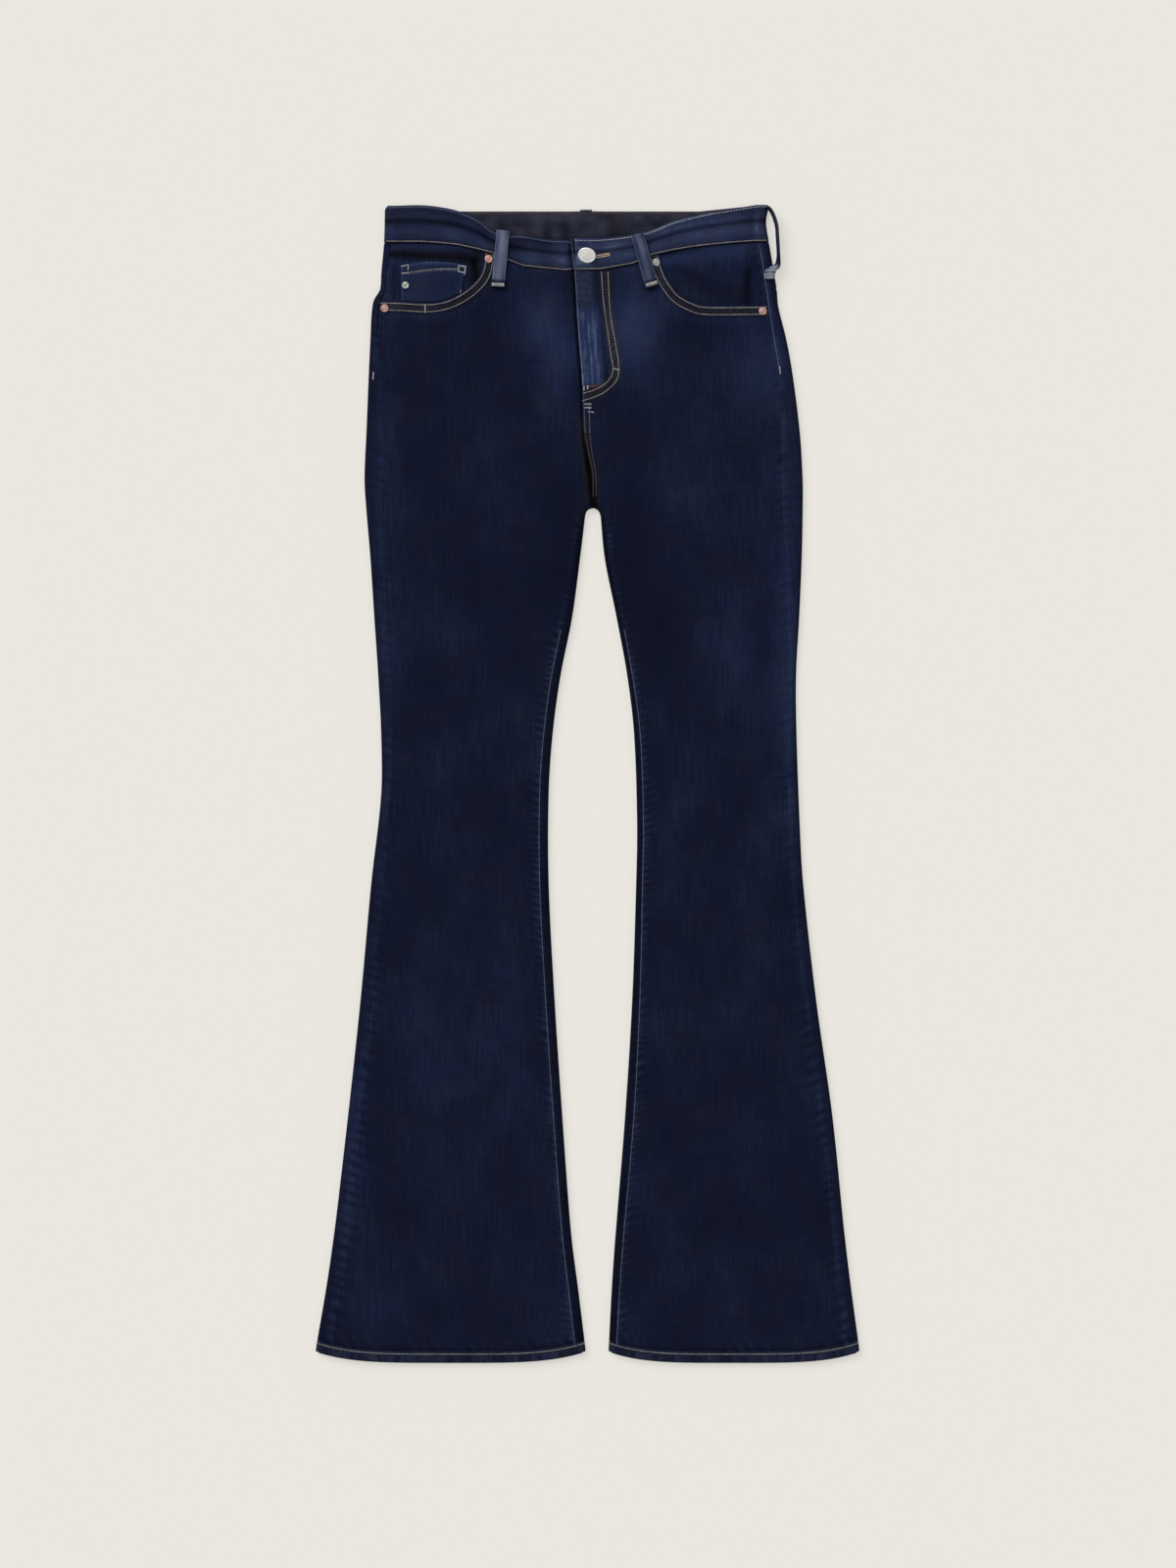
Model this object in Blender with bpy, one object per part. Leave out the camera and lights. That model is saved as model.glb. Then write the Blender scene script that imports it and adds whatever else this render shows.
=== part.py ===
"""Bootcut jeans laid flat on their back, front up, waist towards +Y.

Each piece that a maker cuts is one closed wall. A leg's cross-section is a
flattened ring: a flat underside, a round fold at each edge, and an upper
surface with soft folds. The wearer's right leg is at -X, the left at +X.
"""
import math
from collections import namedtuple

import bmesh
import bpy

MM = 0.001                # the sizes below are in millimetres
SEAM_GAP = 0.3            # between neighbouring pieces
DENIM = 1.3               # one layer of stretch denim
BAND_WALL = 2.2           # waistband, two layers
HEM_WALL = 2.2            # turned-up hem
FOLD_RADIUS = 3.1         # outer radius where the cloth folds at a leg's edge
FOLD_TOP = 2 * FOLD_RADIUS
BAND_FOLD_RADIUS = 4.0
HEM_LIFT = 0.8            # the hem stands this much above the leg
HEM_HEIGHT = 11.0
HEM_Y = -569.6            # lowest point of the hems
HEM_GAP = 0.6             # the hem's curve is faceted, so its seam is a little wider
PAD = 1.7                 # room under the back for a pocket or a belt loop
PATCH = 1.4               # thickness of those pieces
CAP_STEPS = 5             # facets round a fold
REST_GAP = SEAM_GAP + 0.1   # under a piece that lies on another

CROTCH_Y = 271.0
CROTCH_X = 4.3
BACK_SEAM_Y = 529.0       # waistband's lower edge at the back
BACK_TOP_Y = 563.6
YOKE_SIDE_Y, YOKE_CENTRE_Y = 487.0, 451.0
BAND_SIDE_Y = 532.0       # waistband's lower edge at the side
LOOP_WIDTH = 12.5

# One row per section of a leg, top to hem. y is the height up the garment,
# outer and inner are the x of the two folded edges, and outseam and inseam
# say how far in from those folds the seams lie on the upper surface.
Section = namedtuple("Section", "y outer inner outseam inseam")
RIGHT_SECTIONS = (
    Section(566, -199.4, 1.5, 5.6, 4.2),
    Section(534, -200.2, 1.5, 6.2, 4.2),
    Section(503, -203.0, 1.5, 5.2, 4.2),
    Section(487, -204.3, 1.5, 4.6, 4.2),
    Section(474, -211.0, 1.5, 6.5, 4.2),
    Section(438, -213.7, 1.5, 6.7, 4.2),
    Section(347, -217.6, 1.5, 15.4, 4.2),
    Section(300, -219.5, 1.5, 15.5, 4.2),
    Section(271, -217.8, 1.5, 14.0, 4.2),
    Section(222, -213.7, -6.3, 12.0, 6.0),
    Section(164, -209.9, -15.0, 10.0, 7.7),
    Section(106, -206.0, -26.5, 8.5, 7.7),
    Section(48, -203.1, -34.3, 7.7, 7.7),
    Section(-10, -203.1, -38.1, 8.0, 7.7),
    Section(-97, -212.8, -38.1, 10.0, 7.7),
    Section(-212, -223.4, -32.3, 11.6, 7.7),
    Section(-328, -235.9, -24.6, 11.6, 7.7),
    Section(-444, -249.5, -15.9, 11.6, 7.7),
    Section(-502, -257.2, -9.2, 11.6, 7.7),
    Section(-570, -267.8, -1.6, 11.6, 7.7),
)
LEFT_SECTIONS = (
    Section(566, 178.0, 7.5, 10.6, 4.2),
    Section(553, 175.8, 7.5, 10.8, 4.2),
    Section(534, 178.4, 7.5, 11.0, 4.2),
    Section(513, 182.0, 7.5, 11.2, 4.2),
    Section(487, 186.2, 7.5, 11.4, 4.2),
    Section(470, 187.8, 7.5, 10.6, 4.2),
    Section(438, 195.6, 7.5, 13.2, 4.2),
    Section(405, 201.6, 7.5, 14.0, 4.2),
    Section(347, 208.9, 7.5, 17.5, 4.2),
    Section(300, 211.8, 7.5, 20.0, 4.2),
    Section(271, 211.9, 7.5, 19.6, 4.2),
    Section(222, 210.9, 16.9, 16.5, 4.2),
    Section(164, 208.4, 28.5, 11.5, 4.2),
    Section(106, 205.3, 39.1, 7.0, 4.2),
    Section(48, 205.8, 45.8, 9.0, 5.0),
    Section(-39, 208.9, 48.7, 11.0, 5.3),
    Section(-97, 212.2, 47.8, 11.6, 5.3),
    Section(-212, 225.0, 43.9, 11.6, 6.5),
    Section(-328, 241.2, 36.8, 11.6, 7.7),
    Section(-444, 253.0, 27.5, 11.6, 7.0),
    Section(-502, 259.4, 23.8, 11.6, 6.5),
    Section(-570, 267.8, 20.6, 11.6, 6.0),
)

# Waistband across the front: where its lower and upper edges run, the height
# of its outer face, and the depth of the crease along its middle.
Band = namedtuple("Band", "x seam top face crease")
RIGHT_BAND = (
    Band(12, 505.4, 533.5, 6.3, 0.0),
    Band(-13, 505.4, 534.5, 6.3, 0.0),
    Band(-22, 504.4, 534.9, 6.4, 0.1),
    Band(-40, 506.1, 536.0, 6.9, 0.3),
    Band(-63, 508.3, 539.6, 7.4, 0.7),
    Band(-79, 514.6, 540.4, 7.6, 1.0),
    Band(-94, 521.3, 544.6, 7.7, 1.2),
    Band(-109, 525.2, 555.8, 7.8, 1.2),
    Band(-128, 529.2, 563.8, 7.9, 1.1),
    Band(-146, 531.0, 567.6, 8.0, 0.9),
    Band(-165, 532.1, 569.4, 8.0, 0.6),
    Band(-188, 532.1, 568.8, 8.0, 0.2),
)
LEFT_BAND = (
    Band(-15, 505.0, 536.5, 8.9, 0.0),
    Band(13, 505.1, 536.5, 8.9, 0.0),
    Band(45, 510.9, 540.2, 8.3, 0.4),
    Band(64, 519.6, 544.8, 8.0, 1.0),
    Band(84, 524.0, 553.0, 8.0, 1.2),
    Band(104, 527.3, 558.4, 8.0, 1.2),
    Band(118, 529.0, 561.6, 8.0, 1.1),
    Band(140, 531.2, 565.4, 8.0, 0.9),
    Band(160, 532.6, 568.6, 8.0, 0.6),
    Band(166, 532.9, 569.6, 8.0, 0.3),
)
LAP_LEAN = 3.0            # the lapped end of the band leans this far
BAND_LEVELS = (0.0, 0.25, 0.5, 0.75, 1.0)
CREASE_WIDTH = 0.22       # of the band's height

# Pocket openings, from the side seam down round and up to the waist.
RIGHT_SCOOP = ((-204.5, 474.4), (-185, 474.2), (-160, 472.8), (-147, 473.8), (-134.5, 477.3),
               (-119.5, 485.8), (-108, 496.5), (-102.8, 507), (-100.8, 523.1))
LEFT_SCOOP = ((177.2, 470.5), (155, 470.2), (137.5, 470), (112, 470.7), (98.5, 475.8),
              (89.3, 481.6), (82.5, 490), (75.6, 501.8), (69.8, 520.5))
SCOOP_STEPS = 8
SCOOP_BAND, SCOOP_LIFT, SCOOP_FADE = 9.0, 0.7, 2.5    # doubled cloth along the opening
FACING_SINK = 1.9         # facing below the front's upper surface
FACING_RISE, FACING_CLEAR, FACING_RUN = 1.5, 5.0, 24.0    # it comes up again inside the opening
FACING_MID_Y = 503.0
# Lower edge of each facing, which runs on under the front.
RIGHT_FACING_EDGE = ((-215, 459), (-150, 459), (-125, 468), (-108, 482), (-94, 499), (-88, 508))
LEFT_FACING_EDGE = ((190, 456), (120, 456), (98, 463), (84, 474), (73, 488), (64, 500), (58, 506))

# Centre front: the fly's edge, then the crotch seam.
CENTRE_LINE = ((505, -13.3), (438, -8.7), (405, -5.9), (372, -4.5), (340, -3.4), (312, 1.0),
               (288, 3.9), (276, 4.3))
FLY_TOP_Y = 505.0
FLY_WIDTH, FLY_END_Y, FLY_LIFT, FLY_FADE = 36.0, 378.0, 0.8, 16.0

# Heights of the rows that front and back share, from the seat to the hem,
# and how far each has taken on the hem's curve.
Row = namedtuple("Row", "y bend")
SHARED_ROWS = tuple(Row(y, 0.0) for y in (
    438, 405, 372, 340, 312, 288, 276, CROTCH_Y, 255, 235, 205, 170, 130, 90, 50, 10,
    -35, -80, -130, -180, -230, -280, -330, -380, -430)) + (
    Row(-480, 0.35), Row(-525, 0.75), Row(HEM_Y + HEM_HEIGHT + HEM_GAP, 1.0))
HEM_ROWS = (Row(HEM_Y + HEM_HEIGHT, 1.0), Row(HEM_Y + HEM_HEIGHT / 2, 1.0), Row(HEM_Y, 1.0))
HEM_RISE, HEM_POWER = 11.0, 4.0      # the hem's corners rise into a shallow smile
HEM_ACROSS = 12           # facets across the hem, closer together at its corners

# Soft folds of the upper surface: a line from one end to the other, the
# half-width of the trough or ridge, and its height.
Fold = namedtuple("Fold", "x0 y0 x1 y1 width height")
FOLDS = (
    Fold(-155, 505, -140, 500, 42, 0.7),
    Fold(132, 505, 118, 500, 42, 0.7),
    Fold(60, 476, 72, 392, 13, -1.2),
    Fold(4, 288, -48, 334, 11, -0.9),
    Fold(4, 288, 54, 338, 11, -0.9),
    Fold(-8, 262, -66, 240, 13, -0.8),
    Fold(18, 262, 74, 236, 13, -0.8),
    Fold(-112, 410, -122, 150, 26, -0.9),
    Fold(120, 395, 126, 130, 26, -0.9),
    Fold(-60, 30, -168, 46, 18, -0.6),
    Fold(72, 62, 184, 36, 18, -0.6),
    Fold(-92, 4, -160, -22, 16, -0.4),
    Fold(-118, -60, -138, -490, 30, -1.0),
    Fold(128, -50, 150, -480, 30, -1.0),
    Fold(-192, 446, -150, 384, 15, -0.7),
    Fold(164, 440, 140, 372, 15, -0.7),
)
FOLD_FADE = 14.0          # folds die out over this width beside an edge

# Back pockets and the belt loops that lie under the back.
POCKET_X, POCKET_WIDTH, POCKET_TOP, POCKET_BOTTOM = 100.0, 134.0, 436.0, 290.0
POCKET_LOW_WIDTH, POCKET_CORNER_Y, POCKET_MARGIN = 114.0, 318.0, 2.0
CENTRE_LOOP_X, SIDE_LOOP_X = -1.4, -165.0
LOOP_END_Y = 511.0
LOOP_PAD_HALF, LOOP_RAMP, POCKET_RAMP = 7.0, 12.0, 14.0
LOOP_PAD_Y = LOOP_END_Y - 8     # the underside is raised from here up
YOKE_LEVEL_X = POCKET_X + POCKET_WIDTH / 2 + POCKET_MARGIN   # the yoke's seam is level beyond this
# Stops across the back that the waistband and the yokes share: the raised
# places over the loops, and plain ones between.
BACK_STOPS = tuple(sorted(
    [x + d for x in (SIDE_LOOP_X, CENTRE_LOOP_X) for d in (
        -LOOP_PAD_HALF - LOOP_RAMP, -LOOP_PAD_HALF, LOOP_PAD_HALF, LOOP_PAD_HALF + LOOP_RAMP)]
    + [-YOKE_LEVEL_X, -110.0, -65.0, 60.0, 110.0, YOKE_LEVEL_X]))

# drop is where, from the side inwards, the band's edges come down to the back's height.
Side = namedtuple("Side", "name sign sections band scoop facing_edge pocket_x drop")
RIGHT = Side("right", -1, RIGHT_SECTIONS, RIGHT_BAND, RIGHT_SCOOP, RIGHT_FACING_EDGE, -POCKET_X,
             (BACK_STOPS[0], BACK_STOPS[4]))
LEFT = Side("left", 1, LEFT_SECTIONS, LEFT_BAND, LEFT_SCOOP, LEFT_FACING_EDGE, POCKET_X,
            (BACK_STOPS[-1], BACK_STOPS[-2]))
SIDES = (RIGHT, LEFT)

DENIM_BLUE = (0.021, 0.027, 0.062, 1)
LOOP_BLUE = (0.060, 0.080, 0.140, 1)
SILVER = (0.78, 0.78, 0.76, 1)
COPPER = (0.42, 0.25, 0.21, 1)
STEEL = (0.38, 0.38, 0.36, 1)


# ---------------------------------------------------------------- reading tables
def mix(a, b, t):
    return a + (b - a) * t


def ease(t):
    t = max(0.0, min(1.0, t))
    return t * t * (3 - 2 * t)


def straight(points, at):
    """Straight lines through (at, value) pairs, held level beyond the ends."""
    points = sorted(points)
    if at <= points[0][0]:
        return points[0][1]
    for (a, va), (b, vb) in zip(points, points[1:]):
        if at <= b:
            return mix(va, vb, (at - a) / (b - a))
    return points[-1][1]


def smooth(points, at):
    """A smooth curve through (at, value) pairs."""
    points = sorted(points)
    keys = [p[0] for p in points]
    at = max(keys[0], min(keys[-1], at))
    i = max(0, min(len(keys) - 2, sum(k <= at for k in keys) - 1))

    def slope(j):
        lo, hi = max(0, j - 1), min(len(points) - 1, j + 1)
        return (points[hi][1] - points[lo][1]) / (points[hi][0] - points[lo][0])

    step = keys[i + 1] - keys[i]
    t = (at - keys[i]) / step
    a, b = points[i][1], points[i + 1][1]
    return ((2 * t**3 - 3 * t**2 + 1) * a + (t**3 - 2 * t**2 + t) * step * slope(i)
            + (3 * t**2 - 2 * t**3) * b + (t**3 - t**2) * step * slope(i + 1))


def outer_fold(side, y):
    return smooth([(s.y, s.outer) for s in side.sections], y)


def inner_fold(side, y):
    return smooth([(s.y, s.inner) for s in side.sections], min(y, CROTCH_Y))


def outseam(side, y):
    return outer_fold(side, y) - side.sign * smooth([(s.y, s.outseam) for s in side.sections], y)


def inner_edge(side, y):
    """Inner edge of the front: the centre line, and the inseam below the crotch."""
    if y > CROTCH_Y:
        return straight(CENTRE_LINE, y)
    return inner_fold(side, y) + side.sign * smooth([(s.y, s.inseam) for s in side.sections], y)


def waist_seam(side, x):
    return straight([(b.x, b.seam) for b in side.band], x)


def back_height(side, x, side_y, back_y):
    """An edge of the waistband across the back, level at the side and behind."""
    return straight(((side.drop[0], side_y), (side.drop[1], back_y)), x)


def row_height(side, row, x):
    """Height of a row at x: rows near the hem bend into its smile."""
    outer, inner = outer_fold(side, row.y), inner_fold(side, row.y)
    across = abs(2 * (x - inner) / (outer - inner) - 1)
    return row.y + row.bend * HEM_RISE * min(1.0, across) ** HEM_POWER


# ---------------------------------------------------------------- surfaces
def line_distance(x, y, x0, y0, x1, y1):
    dx, dy = x1 - x0, y1 - y0
    t = max(0.0, min(1.0, ((x - x0) * dx + (y - y0) * dy) / (dx * dx + dy * dy)))
    return math.hypot(x - x0 - t * dx, y - y0 - t * dy)


def upper_face(x, y):
    """Height of the cloth's upper surface."""
    side = RIGHT if x < CROTCH_X else LEFT
    to_edge = abs(x - outer_fold(side, y))
    if y > CROTCH_Y:
        to_edge = min(to_edge, math.hypot(x - CROTCH_X, y - CROTCH_Y) + FOLD_RADIUS)
    else:
        to_edge = min(to_edge, abs(x - inner_fold(side, y)))
    relief = sum(f.height * math.exp(-(line_distance(x, y, f.x0, f.y0, f.x1, f.y1) / f.width) ** 2)
                 for f in FOLDS)
    return FOLD_TOP + ease((to_edge - FOLD_RADIUS) / FOLD_FADE) * relief


def ramp(distance, half, width):
    return max(0.0, min(1.0, (half + width - abs(distance)) / width))


def under_face(x, y):
    """Height of the underside: level, and raised over what lies beneath."""
    raised = 0.0
    for loop_x in (CENTRE_LOOP_X, SIDE_LOOP_X):
        along = max(0.0, min(1.0, (y - LOOP_PAD_Y) / LOOP_RAMP + 1))
        raised = max(raised, along * ramp(x - loop_x, LOOP_PAD_HALF, LOOP_RAMP))
    middle, half = (POCKET_TOP + POCKET_BOTTOM) / 2, (POCKET_TOP - POCKET_BOTTOM) / 2 + POCKET_MARGIN
    for side in SIDES:
        across = ramp(x - side.pocket_x, POCKET_WIDTH / 2 + POCKET_MARGIN, POCKET_RAMP)
        raised = max(raised, across * ramp(y - middle, half, POCKET_RAMP))
    return PAD * raised


def scoop_distance(side, x, y):
    return min(line_distance(x, y, *a, *b) for a, b in zip(side.scoop, side.scoop[1:]))


def front_lift(side, x, y):
    """Doubled cloth along the pocket opening and behind the fly."""
    lift = SCOOP_LIFT * (1 - ease((scoop_distance(side, x, y) - SCOOP_BAND) / SCOOP_FADE))
    if side is LEFT and y > FLY_END_Y:
        past = x - straight(CENTRE_LINE, y) - FLY_WIDTH
        lift = max(lift, FLY_LIFT * (1 - ease(past / FLY_FADE + 0.5)))
    return lift


def facing_lift(side, x, y):
    """The facing lies under the front's opening and rises towards the waist."""
    if side.sign * (x - side.scoop[-1][0]) <= 0 or y < straight(side.scoop, x):
        return -FACING_SINK
    return -FACING_SINK + FACING_RISE * ease((scoop_distance(side, x, y) - FACING_CLEAR) / FACING_RUN)


# ---------------------------------------------------------------- building meshes
def material(name, color, roughness, metallic=0.0):
    mat = bpy.data.materials.get(name) or bpy.data.materials.new(name)
    mat.use_nodes = True
    shader = mat.node_tree.nodes["Principled BSDF"]
    shader.inputs["Base Color"].default_value = color
    shader.inputs["Roughness"].default_value = roughness
    shader.inputs["Metallic"].default_value = metallic
    return mat


def denim():
    return material("denim", DENIM_BLUE, 0.85)


def loop_denim():
    return material("loop_denim", LOOP_BLUE, 0.85)


def placed(point):
    return tuple(c * MM for c in point)


def add_object(name, points, faces, mat, is_round=False):
    mesh = bpy.data.meshes.new(name)
    mesh.from_pydata([placed(p) for p in points], [], faces)
    work = bmesh.new()
    work.from_mesh(mesh)
    bmesh.ops.recalc_face_normals(work, faces=work.faces)
    work.to_mesh(mesh)
    work.free()
    if is_round:
        mesh.shade_smooth()
        mesh.set_sharp_from_angle(angle=math.radians(40))
    mesh.materials.append(mat)
    obj = bpy.data.objects.new(name, mesh)
    bpy.context.scene.collection.objects.link(obj)
    return obj


def wall(name, outer, inner, mat, ring=False):
    """A closed wall between two grids of points; None marks a missing point."""
    index, points = {}, []
    for layer, grid in enumerate((outer, inner)):
        for i, line in enumerate(grid):
            for j, point in enumerate(line):
                if point is not None:
                    index[layer, i, j] = len(points)
                    points.append(point)
    faces, edges = [], {}
    columns = len(outer[0])
    for i in range(len(outer) - 1):
        for j in range(columns if ring else columns - 1):
            k = (j + 1) % columns
            corners = ((i, j), (i, k), (i + 1, k), (i + 1, j))
            if any((0, *c) not in index for c in corners):
                continue
            faces.append([index[(0, *c)] for c in corners])
            faces.append([index[(1, *c)] for c in reversed(corners)])
            for a, b in zip(corners, corners[1:] + corners[:1]):
                if (b, a) in edges:
                    del edges[b, a]
                else:
                    edges[a, b] = True
    for a, b in edges:
        faces.append([index[(0, *b)], index[(0, *a)], index[(1, *a)], index[(1, *b)]])
    return add_object(name, points, faces, mat)


def top_point(x, y, lift=0.0, thickness=DENIM):
    z = upper_face(x, y)
    return (x, y, z + lift), (x, y, z - thickness)


def fold_point(edge_x, outward, y, turn, radius=FOLD_RADIUS, thickness=DENIM):
    """A point round a folded edge: turn goes from 0, on top, to 1, underneath."""
    angle = math.pi * turn
    middle = edge_x - outward * radius
    return tuple((middle + outward * r * math.sin(angle), y, radius + r * math.cos(angle))
                 for r in (radius, radius - thickness))


def under_point(x, y, thickness=DENIM):
    z = under_face(x, y)
    return (x, y, z), (x, y, z + thickness)


def split(pairs):
    """Rows of (outer, inner) points to the two grids that a wall takes."""
    return tuple([[p[layer] if p else None for p in line] for line in pairs] for layer in (0, 1))


def ribbon(name, path, across, thicknesses, width, mat):
    """A flat strip along a path, with a width direction at each point."""
    points, faces = [], []
    last = len(path) - 1
    for i, (centre, side_dir, thickness) in enumerate(zip(path, across, thicknesses)):
        before, after = path[max(0, i - 1)], path[min(last, i + 1)]
        run = [b - a for a, b in zip(before, after)]
        normal = (side_dir[1] * run[2] - side_dir[2] * run[1],
                  side_dir[2] * run[0] - side_dir[0] * run[2],
                  side_dir[0] * run[1] - side_dir[1] * run[0])
        size = math.sqrt(sum(n * n for n in normal))
        for s, t in ((-1, -1), (1, -1), (1, 1), (-1, 1)):
            points.append(tuple(c + s * d * width / 2 + t * n / size * thickness / 2
                                for c, d, n in zip(centre, side_dir, normal)))
    for i in range(last):
        for j in range(4):
            k = (j + 1) % 4
            faces.append([4 * i + j, 4 * i + k, 4 * i + 4 + k, 4 * i + 4 + j])
    faces += [[3, 2, 1, 0], [4 * last + j for j in range(4)]]
    return add_object(name, points, faces, mat)


def turned(name, centre, profile, steps, mat, tilt=0.0, tilt_from=0):
    """A turned piece standing at centre; rings from tilt_from on lean back."""
    points, faces = [(0.0, 0.0, profile[0][1])], []
    rings = profile[1:-1]
    pivot = profile[tilt_from][1]
    for radius, height in rings:
        for k in range(steps):
            angle = 2 * math.pi * k / steps
            points.append((radius * math.cos(angle), radius * math.sin(angle), height))
    points.append((0.0, 0.0, profile[-1][1]))
    for i, (x, y, z) in enumerate(points):
        ring = 0 if i == 0 else 1 + (i - 1) // steps
        if ring >= tilt_from:
            y, z = (y * math.cos(tilt) - (z - pivot) * math.sin(tilt),
                    pivot + y * math.sin(tilt) + (z - pivot) * math.cos(tilt))
        points[i] = (x + centre[0], y + centre[1], z + centre[2])
    for k in range(steps):
        n = (k + 1) % steps
        faces.append([0, 1 + n, 1 + k])
        for r in range(len(rings) - 1):
            a, b = 1 + r * steps, 1 + (r + 1) * steps
            faces.append([a + k, a + n, b + n, b + k])
        end = 1 + (len(rings) - 1) * steps
        faces.append([end + k, end + n, len(points) - 1])
    return add_object(name, points, faces, mat, is_round=True)


# ---------------------------------------------------------------- the cut pieces
def scoop_points(side):
    """The pocket opening at even steps, from the side seam to the waist."""
    lengths = [math.dist(a, b) for a, b in zip(side.scoop, side.scoop[1:])]
    total, points = sum(lengths), []
    for step in range(SCOOP_STEPS + 1):
        left = total * step / SCOOP_STEPS
        for (a, b), length in zip(zip(side.scoop, side.scoop[1:]), lengths):
            if left <= length + 1e-6:
                break
            left -= length
        points.append((mix(a[0], b[0], left / length), mix(a[1], b[1], left / length)))
    end_x = side.scoop[-1][0]
    points[-1] = (end_x, waist_seam(side, end_x) - SEAM_GAP)
    return points


def front_panel(side):
    gap = SEAM_GAP / 2
    head = scoop_points(side)
    head[0] = (outseam(side, head[0][1]) - side.sign * gap, head[0][1])
    centre_x = straight(CENTRE_LINE, FLY_TOP_Y) + side.sign * gap
    stations = [b.x for b in side.band if side.sign * b.x < side.sign * side.scoop[-1][0] - 1
                and side.sign * (b.x - centre_x) > 2]
    stations.sort(key=lambda x: -side.sign * x)
    head += [(x, waist_seam(side, x) - SEAM_GAP) for x in stations + [centre_x]]
    runs = [0.0]
    for a, b in zip(head, head[1:]):
        runs.append(runs[-1] + math.dist(a, b))
    shares = [r / runs[-1] for r in runs]

    def row_points(row):
        y = row.y
        outer, inner = outseam(side, y) - side.sign * gap, inner_edge(side, y) + side.sign * gap
        line = []
        for share in shares:
            x = mix(outer, inner, share)
            line.append((x, row_height(side, row, x)))
        return line

    foot = row_points(SHARED_ROWS[0])
    grid = []
    for reach in (0.0, SCOOP_BAND - 0.5, SCOOP_BAND + 2.5):
        grid.append([(mix(a[0], b[0], reach / math.dist(a, b)), mix(a[1], b[1], reach / math.dist(a, b)))
                     for a, b in zip(head, foot)])
    grid.append([(mix(a[0], b[0], 0.5), mix(a[1], b[1], 0.5)) for a, b in zip(grid[-1], foot)])
    grid += [row_points(row) for row in SHARED_ROWS]
    pairs = [[top_point(x, y, front_lift(side, x, y)) for x, y in line] for line in grid]
    return wall(f"front_panel_{side.name}", *split(pairs), denim())


def back_panel(side):
    """From the yoke seam to the hem, wrapping both folds of the leg."""
    gap = SEAM_GAP / 2
    half = POCKET_WIDTH / 2 + POCKET_MARGIN
    pocket_stops = [side.pocket_x + side.sign * d for d in
                    (half + POCKET_RAMP, half, 0, -half, -half - POCKET_RAMP)]
    seat_y = SHARED_ROWS[0].y
    seat_start = outer_fold(side, seat_y) - side.sign * FOLD_RADIUS
    shares = [(x - seat_start) / (CROTCH_X - seat_start) for x in pocket_stops]
    heights = [Row(YOKE_SIDE_Y, 0.0), Row(side.scoop[0][1], 0.0),
               Row(POCKET_TOP + POCKET_MARGIN + POCKET_RAMP, 0.0)] + list(SHARED_ROWS)
    pairs = []
    for row in heights:
        y, outer = row.y, outer_fold(side, row.y)
        below = y <= CROTCH_Y
        start = outer - side.sign * FOLD_RADIUS
        end = inner_fold(side, y) + side.sign * FOLD_RADIUS if below else CROTCH_X + side.sign * gap
        stops = pocket_stops if y > CROTCH_Y else [mix(start, end, s) for s in shares]
        under = [start] + [max(min(x, max(start, end)), min(start, end)) for x in stops] + [end]
        rise = (row.y - seat_y) / (YOKE_SIDE_Y - seat_y)

        def y_at(x, row=row, rise=rise):
            if rise > 0:
                return mix(seat_y, yoke_seam(side, x) - gap * (rise == 1), rise)
            return row_height(side, row, x)

        line = [top_point(x, y_at(x)) for x in (outseam(side, y) + side.sign * gap, start)]
        line += [fold_point(outer, side.sign, y_at(outer), k / CAP_STEPS) for k in range(1, CAP_STEPS)]
        line += [under_point(x, y_at(x)) for x in under]
        if below:
            inner = inner_fold(side, y)
            line += [fold_point(inner, -side.sign, y_at(inner), 1 - k / CAP_STEPS)
                     for k in range(1, CAP_STEPS)]
            line += [top_point(x, y_at(x)) for x in (end, inner_edge(side, y) - side.sign * gap)]
        else:
            line += [None] * (CAP_STEPS + 1)
        pairs.append(line)
    return wall(f"back_panel_{side.name}", *split(pairs), denim())


def yoke_seam(side, x):
    """The yoke's lower seam dips towards the centre back."""
    return straight(((CROTCH_X, YOKE_CENTRE_Y), (side.sign * YOKE_LEVEL_X, YOKE_SIDE_Y)), x)


def back_yoke(side):
    gap = SEAM_GAP / 2
    stops = [x for x in BACK_STOPS if side.sign * (x - CROTCH_X) > 1]
    stops.sort(key=lambda x: -side.sign * x)
    pairs = []
    for level in (None, LOOP_PAD_Y, LOOP_PAD_Y - LOOP_RAMP, YOKE_SIDE_Y):
        seam_y = waist_seam(side, outseam(side, BAND_SIDE_Y))
        y_row = seam_y if level is None else level
        outer = outer_fold(side, y_row)
        start = outer - side.sign * FOLD_RADIUS

        def y_at(x, level=level, seam_y=seam_y):
            if level is None:
                return back_height(side, x, seam_y, BACK_SEAM_Y) - gap
            if level == YOKE_SIDE_Y:
                return yoke_seam(side, x) + gap
            return level

        line = [top_point(x, y_at(x)) for x in (outseam(side, y_row) + side.sign * gap, start)]
        line += [fold_point(outer, side.sign, y_at(outer), k / CAP_STEPS) for k in range(1, CAP_STEPS)]
        line += [under_point(x, y_at(x)) for x in [start] + stops + [CROTCH_X + side.sign * gap]]
        pairs.append(line)
    return wall(f"back_yoke_{side.name}", *split(pairs), denim())


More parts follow.
